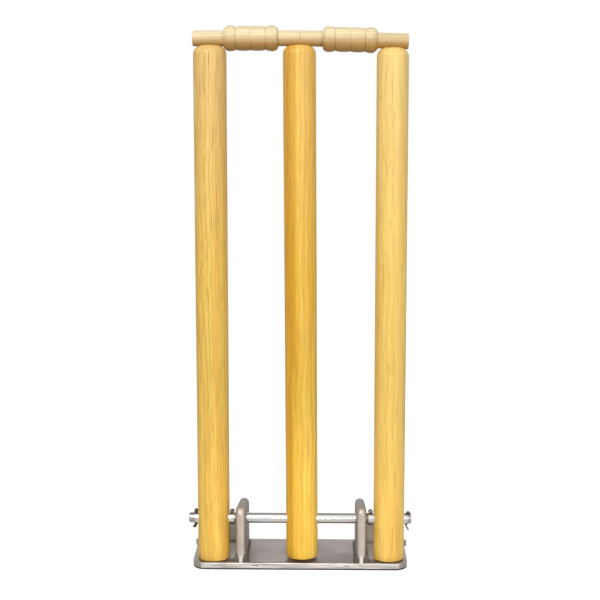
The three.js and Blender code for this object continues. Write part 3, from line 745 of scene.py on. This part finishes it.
def round_corner(centre, radius, start, end, steps=14):
    """Points of centre + radius * (cos a, sin a), with a from start to end in degrees."""
    a = np.radians(np.linspace(start, end, steps))
    return np.stack([centre[0] + radius * np.cos(a), centre[1] + radius * np.sin(a)], -1)


def curve_to(start, control, end, steps=16):
    """Points of (1-t)^2 * start + 2t(1-t) * control + t^2 * end."""
    t = np.linspace(0, 1, steps)[:, None]
    return (1 - t) ** 2 * np.array(start) + 2 * t * (1 - t) * np.array(control) + t**2 * np.array(end)


print("plate helpers ready")

# %% [markdown]
# ## Base plate
#
# The base is one bar of 10 mm steel with round corners, a little rounder below than above.
# It has been knocked, so a few shallow dents are pressed into the upper front edge: each
# point sinks by a smooth bell of its distance to the dent.

# %% Make the base plate
CORNER = 0.018
PLATE_EDGE = 0.0009
PLATE_FOOT = 0.0012
DENT_REACH = 0.003
DENT_PUSH = 0.7  # how far a dent goes back, as a share of its depth
DENTS = [  # place along the edge, half width, depth
    (-0.0632, 0.0042, 0.0011), (0.0625, 0.0040, 0.0009), (0.0772, 0.0014, 0.0010)]

low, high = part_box("base_plate")
inset = CORNER - PLATE_EDGE
front = np.linspace(low.x + CORNER, high.x - CORNER, 240)[1:-1]
plate_core = np.concatenate([
    round_corner((high.x - CORNER, low.y + CORNER), inset, -90, 0),
    round_corner((high.x - CORNER, high.y - CORNER), inset, 0, 90),
    round_corner((low.x + CORNER, high.y - CORNER), inset, 90, 180),
    round_corner((low.x + CORNER, low.y + CORNER), inset, 180, 270),
    np.stack([front, np.full(len(front), low.y + PLATE_EDGE)], -1)])
plate_rings = soft_plate_rings(
    plate_core, outline_normals(plate_core), low.z, high.z, PLATE_EDGE, foot=PLATE_FOOT)
for dent_x, half_width, depth in DENTS:
    near_top = np.clip((plate_rings[..., 2] - (high.z - DENT_REACH)) / DENT_REACH, 0, 1)
    near_front = np.clip((low.y + DENT_REACH - plate_rings[..., 1]) / DENT_REACH, 0, 1)
    bell = np.exp(-(((plate_rings[..., 0] - dent_x) / half_width) ** 4)) * near_top * near_front
    plate_rings[..., 2] -= depth * bell
    plate_rings[..., 1] += depth * DENT_PUSH * bell
base_bar = skin("base_bar", plate_rings)
base_bar.data.materials.append(plate_steel)
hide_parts("base_plate")
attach(base_bar, "base")
print("base plate:", len(base_bar.data.polygons), "faces")

# %% [markdown]
# ## Brackets
#
# A bracket is a thick plate on edge. Its whole rim is rolled over until hardly any flat
# edge is left, so its front shines like a round bar. The outline lies in the Y-Z plane:
# straight front, tight round nose, long slope to the back corner. The rod's hole is drilled
# through afterwards.

# %% Make the brackets
BRACKET_EDGE = 0.0062
NOSE_LENGTH = 0.012
NOSE_SHOULDER = 0.071
BACK_CORNER_LENGTH = 0.009
BACK_CORNER = 0.0668
BACK_SHOULDER = 0.057
HALF_BRACKET = 0.0068
BRACKET_CUT_LENGTH = 0.04


def bracket_core(low, high):
    """The rim as (y, z) points, anticlockwise from the rear foot, one edge radius inside the plate."""
    front, rear = low.y + BRACKET_EDGE, high.y - BRACKET_EDGE
    crest, corner = high.z - BRACKET_EDGE, PLATE_TOP + BACK_CORNER - BRACKET_EDGE
    shoulder, brow = PLATE_TOP + BACK_SHOULDER - BRACKET_EDGE, PLATE_TOP + NOSE_SHOULDER - BRACKET_EDGE
    back = curve_to((rear, shoulder), (rear, corner), (rear - BACK_CORNER_LENGTH, corner), 14)
    nose = curve_to((low.y + NOSE_LENGTH, crest), (front, crest), (front, brow), 24)
    rise = np.linspace(PLATE_TOP, shoulder, 12)[:-1]
    slope = np.linspace(0, 1, 10)[1:-1, None]
    fall = np.linspace(brow, PLATE_TOP, 20)[1:]
    return np.concatenate([
        np.stack([np.full(len(rise), rear), rise], -1), back, back[-1] + slope * (nose[0] - back[-1]),
        nose, np.stack([np.full(len(fall), front), fall], -1)])


def make_bracket(side):
    """Rolls the rim over, stands the plate on edge and drills it for the rod."""
    low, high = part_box("bracket_" + side)
    centre_x = (low.x + high.x) / 2
    core = bracket_core(low, high)
    normal = outline_normals(core)
    normal[[0, -1]] = ((1, 0), (-1, 0))
    rings = soft_plate_rings(core, normal, -HALF_BRACKET, HALF_BRACKET, BRACKET_EDGE, 12)
    placed = np.stack([rings[..., 2] + centre_x, rings[..., 0], rings[..., 1]], -1)
    plate = skin("soft_bracket_" + side, placed)
    pivot = (centre_x, 0, PIVOT_Z)
    drill(plate, [bar_cutter(pivot, (1, 0, 0), ROD_RADIUS + RUNNING_GAP, BRACKET_CUT_LENGTH)])
    plate.data.materials.clear()
    plate.data.materials.append(bracket_steel)
    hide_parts("bracket_" + side)
    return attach(plate, "base")


brackets = [make_bracket(side) for side in ("left", "right")]
print("brackets:", [len(plate.data.polygons) for plate in brackets], "faces")

# %% [markdown]
# ## Weld beads
#
# Each bracket is welded to the plate along both its long sides. A hand-laid bead is a row
# of overlapping puddles, so the bead is a tube along the joint whose radius swells and
# falls every few millimetres. At the front it grows, wraps a little way round the nose
# and stops, which leaves the middle of the nose clean and bright. Behind the bracket a
# small block of weld metal fills the corner that is cut out of the rear stop.

# %% Lay the welds
BEAD_RADIUS = 0.0024
BEAD_NOSE = 0.0043
BEAD_RISE = 1.25
BEAD_ROOT = 0.0006
BEAD_WRAP = 74  # degrees that the bead goes round the nose
BEAD_STOP = 0.003
SWELL_AT = 0.0045
SWELL_SPREAD = 0.0048
TAPER = 0.004
FRONT_GAP = 0.0002
PUDDLE = 0.0024
RIPPLE = 0.16
FILL = 0.0071
FILL_LENGTH = 0.0075
FILL_END = 0.0003


def weld_bead(name, centre_x, sign, low, high, seed):
    """A tube of radius r(s) = bead * (1 + ripple * |sin(pi s / puddle)|) along the foot of the bracket."""
    a = np.linspace(math.radians(BEAD_WRAP), 0, 18)
    nose = np.stack([HALF_BRACKET - BRACKET_EDGE + BRACKET_EDGE * np.cos(a),
                     low.y + BRACKET_EDGE * (1 - np.sin(a))], -1)
    side_y = np.linspace(low.y + BRACKET_EDGE, high.y - BEAD_STOP, 150)[1:]
    side = np.stack([np.full(len(side_y), HALF_BRACKET), side_y], -1)
    path = np.concatenate([nose, side])
    travel = np.concatenate([[0], np.cumsum(np.linalg.norm(np.diff(path, axis=0), axis=1))])
    step = np.gradient(path, axis=0)
    step /= np.linalg.norm(step, axis=1, keepdims=True)
    outward = np.stack([step[:, 1], -step[:, 0]], -1)
    wander = 1 + 0.10 * np.sin(travel * 310 + seed) + 0.06 * np.sin(travel * 790 + 2 * seed)
    ripple = 1 + RIPPLE * np.abs(np.sin(math.pi * travel / PUDDLE))
    front = np.exp(-(((travel - SWELL_AT) / SWELL_SPREAD) ** 2))
    size = (BEAD_RADIUS + (BEAD_NOSE - BEAD_RADIUS) * front) * wander * ripple
    closing = np.sqrt(np.clip(np.minimum(travel, travel[-1] - travel) / TAPER, 0.02, 1))
    size *= closing
    t = np.linspace(0, 2 * math.pi, 28, endpoint=False)
    sideways = np.cos(t)[None, :] * size[:, None]
    upward = np.sin(t)[None, :] * size[:, None] * (1 + BEAD_RISE * front[:, None])
    flat = path[:, None, :] + sideways[..., None] * outward[:, None, :]
    over = np.maximum(PLATE_TOP + upward, PLATE_TOP - BEAD_ROOT)
    rings = np.stack([centre_x + sign * flat[..., 0], np.maximum(flat[..., 1], low.y + FRONT_GAP), over], -1)
    bead = skin(name, rings, 60)
    bead.data.materials.append(weld_steel)
    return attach(bead, "base")


def corner_fill(side):
    """A rounded square beside the bracket, drawn through the stop's cut corner."""
    low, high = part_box("bracket_" + side)
    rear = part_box("rear_stop_" + side)[1].y
    sign = -1 if side == "left" else 1
    section = np.array([(0, 0), (1, 0), (1, 0.72), (0.92, 0.92), (0.72, 1), (0, 1)]) * FILL
    inner = (low.x + high.x) / 2 + sign * HALF_BRACKET
    rings = [[(inner + sign * u, y, PLATE_TOP + v) for u, v in section]
             for y in (rear - FILL_LENGTH, rear - FILL_END)]
    block = skin("corner_fill_" + side, np.array(rings), 50)
    # The block takes the stops' pale finish of painted light.
    block.data.materials.append(stop_steel)
    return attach(block, "base")


for side in ("left", "right"):
    low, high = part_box("bracket_" + side)
    for sign, hand in ((-1, "a"), (1, "b")):
        weld_bead("weld_%s_%s" % (side, hand), (low.x + high.x) / 2, sign, low, high, 1.7 * sign + len(side))
    corner_fill(side)
print("weld beads laid")

# %% [markdown]
# ## Rear stops
#
# The stops are sawn from 6 mm bar, so their shape is right already and only the edges are
# too crisp. A copy of the frame's mesh is welded together, and a narrow Bevel modifier
# softens its edges.

# %% Soften the rear stops
STOP_BEVEL = 0.0007


def softened_copy(node, name, finish):
    """A merged copy of the frame's mesh, with a bevel on every edge sharper than 30 degrees."""
    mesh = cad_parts[node].data.copy()
    piece = bpy.data.objects.new(name, mesh)
    bpy.context.scene.collection.objects.link(piece)
    weld = piece.modifiers.new("weld", "WELD")
    weld.merge_threshold = 0.00001
    flatten = piece.modifiers.new("flatten", "DECIMATE")
    flatten.decimate_type = "DISSOLVE"
    flatten.angle_limit = math.radians(2)
    bevel = piece.modifiers.new("bevel", "BEVEL")
    bevel.width = STOP_BEVEL
    bevel.segments = 3
    bevel.limit_method = "ANGLE"
    bevel.angle_limit = math.radians(30)
    evaluated = bpy.context.evaluated_depsgraph_get()
    done = bpy.data.meshes.new_from_object(piece.evaluated_get(evaluated))
    piece.modifiers.clear()
    piece.data = done
    done.materials.clear()
    done.materials.append(finish)
    done.shade_smooth()
    done.set_sharp_from_angle(angle=math.radians(40))
    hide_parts(node)
    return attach(piece, "base")


for side in SIDES:
    stop = softened_copy("rear_stop_" + side, "soft_stop_" + side, stop_steel)
    print(stop.name, len(stop.data.polygons), "faces")

# %% [markdown]
# ## Pivot rod
#
# The rod is bright drawn bar with chamfered ends and a hole for each split pin. It has no
# flat to hide behind, so its finish matters more than its shape: clean, nearly white
# metal that mirrors the studio.

# %% Make the rod
ROD_CHAMFER = 0.0014
PIN_RADIUS = 0.0009
PIN_LEG_GAP = 0.0002
PIN_CUT_LENGTH = 0.03
PIN_X = {"outer_left": -0.1466, "inner_left": -0.0960, "inner_right": 0.0963, "outer_right": 0.1458}

rod_length = ROD_HIGH.x - ROD_LOW.x
rod_end = [(ROD_RADIUS * 0.5, 0), (ROD_RADIUS - ROD_CHAMFER, 0),
           (ROD_RADIUS - ROD_CHAMFER * 0.12, ROD_CHAMFER * 0.8), (ROD_RADIUS, ROD_CHAMFER * 1.4)]
rod_profile = rod_end + [(radius, rod_length - along) for radius, along in rod_end[::-1]]
bright_rod = skin("bright_rod", lathe(rod_profile, (ROD_LOW.x, 0, PIVOT_Z), (1, 0, 0), 120), 30)
hole_radius = 2 * PIN_RADIUS + PIN_LEG_GAP
pin_holes = [bar_cutter((x, 0, PIVOT_Z), (0, 0, 1), hole_radius, PIN_CUT_LENGTH, 32)
             for x in PIN_X.values()]
drill(bright_rod, pin_holes, 30)
bright_rod.data.materials.clear()
bright_rod.data.materials.append(rod_steel)
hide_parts("pivot_rod")
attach(bright_rod, "base")

# %% [markdown]
# ## Bent wires
#
# Pins, springs and eyes are all wire. A wire is swept along a path of points: at each
# point a section is laid square to the path. The section's sideways direction is carried
# along the path and corrected a little at every step, so it never twists suddenly.

# %% Sweep a wire
def sweep(name, path, section, first_side):
    """Rings of path + side * u + up * v for each (u, v) of the section."""
    tangent = np.gradient(path, axis=0)
    tangent /= np.linalg.norm(tangent, axis=1, keepdims=True)
    side = np.array(first_side, float)
    sides = []
    for direction in tangent:
        side = side - direction * side.dot(direction)
        side /= np.linalg.norm(side)
        sides.append(side)
    sides = np.array(sides)
    ups = np.cross(tangent, sides)
    sideways = section[None, :, :1] * sides[:, None, :]
    upwards = section[None, :, 1:] * ups[:, None, :]
    return skin(name, path[:, None, :] + sideways + upwards, 50)


def round_section(radius, steps=14):
    """Points of radius * (cos t, sin t) once round."""
    t = np.linspace(0, 2 * math.pi, steps, endpoint=False)
    return radius * np.stack([np.cos(t), np.sin(t)], -1)


print("wire helper ready")

# %% [markdown]
# ## Split pins
#
# A split pin is one half-round wire folded so that its flats meet: together its legs make
# a round pin. It has an eye on top, is pushed through the rod, and its legs are bent
# below: both outwards on the outer pins, apart on the inner ones. A wire that is bent by
# hand never stays in one plane, so the path turns about the pin's own line on its way down.
# The outer right pin's eye is knocked over until it lies on the rod.

# %% Fold the split pins
EYE_RADIUS = 0.0024
EYE_LIFT = 0.0003
BEND_DROP = 0.0008
BEND_RADIUS = 0.0012
LEG_X = PIN_RADIUS + PIN_LEG_GAP / 2
LEG_FULLNESS = 1.7  # half the width of a leg's section, in pin radii
BENDS = {  # how far the eye and the legs turn about the pin, the bend of the legs, and both lengths
    "outer_left": (62, 15, 29, 0.0056, 0.0052),
    "inner_left": (35, 0, 78, 0.0011, 0.0011),
    "inner_right": (-38, 0, 78, 0.0011, 0.0011),
    "outer_right": (84, 10, 29, 0.0002, 0.0078),
}
FOLDS = {"outer_right": 88}  # how far an eye is knocked over, in degrees
FOLD_START = 0.0002
FOLD_RADIUS = 0.0009


def leg_path(start, way, degrees, length):
    """Down from the rod: a bend R (1 - cos t), R sin t towards way, then a straight run to the tip."""
    radius = BEND_RADIUS + (0 if start == way else 2 * LEG_X)
    turn = np.radians(np.linspace(0, degrees, 7))
    bend = np.stack([start * LEG_X + way * radius * (1 - np.cos(turn)),
                     -(ROD_RADIUS + BEND_DROP) - radius * np.sin(turn)], -1)
    run = np.array([way * math.sin(turn[-1]), -math.cos(turn[-1])]) * np.linspace(0, length, 5)[1:, None]
    return np.concatenate([bend, bend[-1] + run])


def folded(path, side, degrees):
    """Bends what lies above the rod over to one side, by an angle t that grows up to the fold's.

    A height h above the fold's start becomes r (1 - cos t) + (h - r t) sin t sideways and
    r sin t + (h - r t) cos t upwards.
    """
    start = PIVOT_Z + ROD_RADIUS + FOLD_START
    over = np.maximum(path[:, 2] - start, 0)
    t = np.minimum(over / FOLD_RADIUS, math.radians(degrees))
    rest = over - FOLD_RADIUS * t
    done = path.copy()
    done[:, 0] += side * (FOLD_RADIUS * (1 - np.cos(t)) + rest * np.sin(t))
    done[:, 2] += FOLD_RADIUS * np.sin(t) + rest * np.cos(t) - over
    return done


def make_pin(name):
    """Goes up one leg, round the eye and down the other leg, and sweeps a half-round wire along it."""
    side = -1 if name.endswith("left") else 1
    eye_turn, leg_turn, degrees, outer_length, inner_length = BENDS[name]
    centre_z = ROD_RADIUS + EYE_LIFT + math.sqrt(EYE_RADIUS**2 - LEG_X**2)
    opening = math.asin(LEG_X / EYE_RADIUS)
    a = np.linspace(-math.pi / 2 + opening, 1.5 * math.pi - opening, 40)
    eye = np.stack([side * EYE_RADIUS * np.cos(a), centre_z + EYE_RADIUS * np.sin(a)], -1)
    outer = leg_path(side, side, degrees, outer_length)[::-1]
    inner = leg_path(-side, side if name.startswith("outer") else -side, degrees, inner_length)
    straight = np.linspace(0, 1, 16)[1:-1, None]
    rise = outer[-1] + straight * (eye[0] - outer[-1])
    fall = eye[-1] + straight * (inner[0] - eye[-1])
    flat = np.concatenate([outer, rise, eye, fall, inner])
    share = np.clip(flat[:, 1] / (2 * ROD_RADIUS) + 0.5, 0, 1)
    turn = np.radians(leg_turn + (eye_turn - leg_turn) * share)
    path = np.stack([PIN_X[name] + flat[:, 0] * np.cos(turn), flat[:, 0] * np.sin(turn),
                     PIVOT_Z + flat[:, 1]], -1)
    path = folded(path, side, FOLDS.get(name, 0))
    t = np.linspace(-math.pi / 2, math.pi / 2, 11)
    half_round = PIN_RADIUS * np.stack([2 * np.cos(t) - 1, LEG_FULLNESS * np.sin(t)], -1)
    first = np.radians(leg_turn)
    pin = sweep("folded_pin_" + name, path, half_round, (side * math.cos(first), side * math.sin(first), 0))
    pin.data.materials.append(wire_steel)
    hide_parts("split_pin_" + name)
    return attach(pin, "base")


pins = [make_pin(name) for name in PIN_X]
print("split pins:", [pin.name for pin in pins])

# %% [markdown]
# ## Screw eyes
#
# A screw eye holds the spring to the back of each stump. Its ring is a torus, and its
# shank is turned with a shallow thread: the radius is a sine of the distance along it.

# %% Make the screw eyes
EYE_RING = 0.0032
EYE_WIRE = 0.001
SHANK_RADIUS = 0.0018
THREAD_PITCH = 0.0016
THREAD_DEPTH = 0.0002


def eye_ring(name, centre, rows=48, columns=14):
    """The torus centre + R * out + r * (cos s * x + sin s * out), where out is (0, cos t, sin t)."""
    t = np.linspace(0, 2 * math.pi, rows, endpoint=False)[:, None, None]
    s = np.linspace(0, 2 * math.pi, columns, endpoint=False)[None, :, None]
    out = np.cos(t) * (0, 1, 0) + np.sin(t) * (0, 0, 1)
    ring = centre + EYE_RING * out + EYE_WIRE * (np.cos(s) * (1, 0, 0) + np.sin(s) * out)
    quads = ring_faces(rows + 1, columns) % (rows * columns)
    return make_piece(name, ring.reshape(-1, 3), quads, np.zeros((0, 3), int))


def make_eye(side):
    """Makes the ring and its threaded shank, and gives the ring's centre."""
    low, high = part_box("screw_eye_" + side)
    centre = np.array([(low.x + high.x) / 2, high.y - EYE_RING - EYE_WIRE, (low.z + high.z) / 2])
    loop = eye_ring("eye_ring_" + side, centre)
    along = np.linspace(0, centre[1] - EYE_RING - low.y, 90)
    thread = SHANK_RADIUS - THREAD_DEPTH * (1 - np.sin(2 * math.pi * along / THREAD_PITCH))
    profile = np.stack([thread, along], -1)
    shank = skin("eye_shank_" + side, lathe(profile, (centre[0], low.y, centre[2]), (0, 1, 0), 24))
    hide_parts("screw_eye_" + side)
    for piece in (loop, shank):
        piece.data.materials.append(wire_steel)
        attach(piece, "stump_" + side)
    return centre


eye_centres = {side: make_eye(side) for side in SIDES}
print("screw eyes at", {side: [round(float(c), 4) for c in eye_centres[side]] for side in SIDES})

# %% [markdown]
# ## Return springs
#
# Each spring is one unbroken wire: a hook through the screw eye, close coils, and a hook
# through the lug. The second half is the first half turned over about the spring's
# middle.

# %% Wind the springs
COIL_RADIUS = 0.0055
SPRING_WIRE = 0.0009
HOOK_RADIUS = 0.0032
HOOK_PLAY = 0.0007
HOOK_OPEN = math.radians(100)
HALF_TURNS = 4.5
SPREAD_TURNS = 3 / 8
STOP_THICKNESS = 0.006
LUG_REACH = 0.006


def spring_path(eye, lug_y, steps=30):
    """Half a spring as reach * (cos a, rise, sin a) with a = 2 pi * turns, then the same turned over."""
    front = eye[1] + HOOK_PLAY + 2 * HOOK_RADIUS
    rear = lug_y - HOOK_PLAY - 2 * HOOK_RADIUS
    middle = (front + rear) / 2
    angle = np.linspace(HOOK_OPEN, 2 * math.pi, 26)[:-1]
    hook = np.stack([HOOK_RADIUS * np.sin(angle), front - HOOK_RADIUS - middle + HOOK_RADIUS * np.cos(angle),
                     np.zeros(25)], -1)
    turns = np.linspace(0, HALF_TURNS, int(HALF_TURNS * steps) + 1)
    reach = COIL_RADIUS * np.sin(np.clip(turns / SPREAD_TURNS, 0, 1) * math.pi / 2)
    coil = np.stack([reach * np.cos(2 * math.pi * turns), (front - middle) * (1 - turns / HALF_TURNS),
                     reach * np.sin(2 * math.pi * turns)], -1)
    half = np.concatenate([hook, coil])
    other = half[:-1][::-1] * (1, -1, -1)
    return np.concatenate([half, other]) + (eye[0], middle, eye[2])


def make_spring(side):
    """Sweeps the wire from eye to lug."""
    lug_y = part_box("rear_stop_" + side)[1].y - STOP_THICKNESS - LUG_REACH
    path = spring_path(eye_centres[side], lug_y)
    spring = sweep("coiled_spring_" + side, path, round_section(SPRING_WIRE, 10), (0, 0, 1))
    spring.data.materials.append(wire_steel)
    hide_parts("return_spring_" + side)
    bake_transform(spring)
    return spring


springs = [make_spring(side) for side in SIDES]
print("springs:", [len(spring.data.vertices) for spring in springs], "points")

# %% [markdown]
# ## Studio
#
# The photograph has a seamless white background and very even light. The world is white
# round the horizon and below for the camera and for reflections, with a grey patch high up
# behind the lamps, as a studio ceiling is: it draws the dark line along the bright rod. For
# soft light it is dimmer, so that a colour renders about as it is written. One large lamp
# in front and a weaker one on the other side give the posts their round shading. Two small
# ones in front, with narrow beams, light the gaps between the feet and the brackets, where
# the posts would shade the plate too much.

# %% Light the studio
CEILING_TILT = 24
CEILING_EDGE = 16
CEILING_FADE = 14
CEILING_GREY = 0.25
SOFT_STRENGTH = 0.62

world = bpy.data.worlds.new("studio")
bpy.context.scene.world = world
world.use_nodes = True
sky = world.node_tree
sky.nodes.clear()
direction = add(sky, "ShaderNodeTexCoord").outputs["Generated"]
height = add(sky, "ShaderNodeSeparateXYZ", Vector=direction).outputs["Z"]
tilt = math.radians(CEILING_TILT)
toward = add(sky, "ShaderNodeVectorMath", {"operation": "DOT_PRODUCT"}, i0=direction,
             i1=(0, math.sin(tilt), math.cos(tilt))).outputs["Value"]
white_from = math.cos(math.radians(CEILING_EDGE + CEILING_FADE))
grey_from = math.cos(math.radians(CEILING_EDGE))
seen = ramp(sky, toward, [(0.0, 1.0), (white_from, 1.0), (grey_from, CEILING_GREY), (1.0, CEILING_GREY)])
dome = ramp(sky, height, [(0.0, 0.25), (1.0, 1.0)])
soft = add(sky, "ShaderNodeBackground", Color=dome, Strength=SOFT_STRENGTH)
shown = add(sky, "ShaderNodeBackground", Color=seen, Strength=1.0)
paths = add(sky, "ShaderNodeLightPath")
sharp = add(sky, "ShaderNodeMath", {"operation": "MAXIMUM"},
            i0=paths.outputs["Is Camera Ray"], i1=paths.outputs["Is Glossy Ray"])
sharp = add(sky, "ShaderNodeMath", {"operation": "MAXIMUM"},
            i0=sharp.outputs[0], i1=paths.outputs["Is Transmission Ray"])
both = add(sky, "ShaderNodeMixShader", Fac=sharp.outputs[0], i1=soft.outputs[0], i2=shown.outputs[0])
add(sky, "ShaderNodeOutputWorld", Surface=both.outputs[0])


def lamp(name, place, target, size, power, spread=180):
    """A soft square lamp at a place, turned towards a target, with its beam's spread in degrees."""
    data = bpy.data.lights.new(name, "AREA")
    data.size = size
    data.energy = power
    data.spread = math.radians(spread)
    made = bpy.data.objects.new(name, data)
    made.location = place
    aim = np.array(target, float) - np.array(place, float)
    flat = math.hypot(aim[0], aim[1])
    made.rotation_euler = (math.pi / 2 + math.atan2(aim[2], flat), 0, math.atan2(-aim[0], aim[1]))
    bpy.context.scene.collection.objects.link(made)
    return made


lamp("key_lamp", (-0.9, -2.7, 2.3), (0, 0, 0.35), size=1.4, power=79)
lamp("fill_lamp", (1.5, -1.9, 0.8), (0, 0, 0.2), size=1.2, power=18)
lamp("left_foot_lamp", (-0.032, -0.85, 0.31), (-0.100, 0.02, 0.02), size=0.05, power=0.056, spread=30)
lamp("right_foot_lamp", (0.062, -0.85, 0.31), (0.100, 0.02, 0.02), size=0.05, power=0.044, spread=30)
print("studio lit")

# %% [markdown]
# ## Floor
#
# The floor is a plain pale sheet. Towards the camera it adds its own white, so that it
# fades into the background, while it still darkens where the base shades it. In the steel
# it is mirrored less brightly, as a floor that the object itself stands over is.

# %% Lay the floor
FLOOR_SIZE = 200.0
FLOOR_GREY = 0.42
FLOOR_GLOW = 0.82
MIRRORED_SHARE = 0.42

floor_corners = [(x * FLOOR_SIZE, y * FLOOR_SIZE, 0) for x, y in ((-1, -1), (1, -1), (1, 1), (-1, 1))]
floor_mesh = bpy.data.meshes.new("floor")
floor_mesh.from_pydata(floor_corners, [], [(0, 1, 2, 3)])
floor = bpy.data.objects.new("floor", floor_mesh)
bpy.context.scene.collection.objects.link(floor)
paint, paint_tree, paint_shader, _ = start_finish("floor_paint")
paint_shader.inputs["Base Color"].default_value = (FLOOR_GREY, FLOOR_GREY, FLOOR_GREY, 1)
paint_shader.inputs["Roughness"].default_value = 0.9
paint_shader.inputs["Specular IOR Level"].default_value = 0.0
paint_paths = add(paint_tree, "ShaderNodeLightPath")
glow = add(paint_tree, "ShaderNodeEmission", Color=(1, 1, 1), Strength=FLOOR_GLOW)
mirrored = add(paint_tree, "ShaderNodeMath", {"operation": "MULTIPLY"},
               i0=paint_paths.outputs["Is Glossy Ray"], i1=MIRRORED_SHARE)
straight = add(paint_tree, "ShaderNodeMath", {"operation": "MAXIMUM"},
               i0=paint_paths.outputs["Is Camera Ray"], i1=mirrored.outputs[0])
dark = add(paint_tree, "ShaderNodeEmission", Color=(0, 0, 0), Strength=0.0)
added = add(paint_tree, "ShaderNodeMixShader",
            Fac=straight.outputs[0], i1=dark.outputs[0], i2=glow.outputs[0])
total = add(paint_tree, "ShaderNodeAddShader", i0=paint_shader.outputs[0], i1=added.outputs[0])
paint_tree.links.new(total.outputs[0], paint_tree.nodes["Material Output"].inputs["Surface"])
floor.data.materials.append(paint)
print("floor laid")
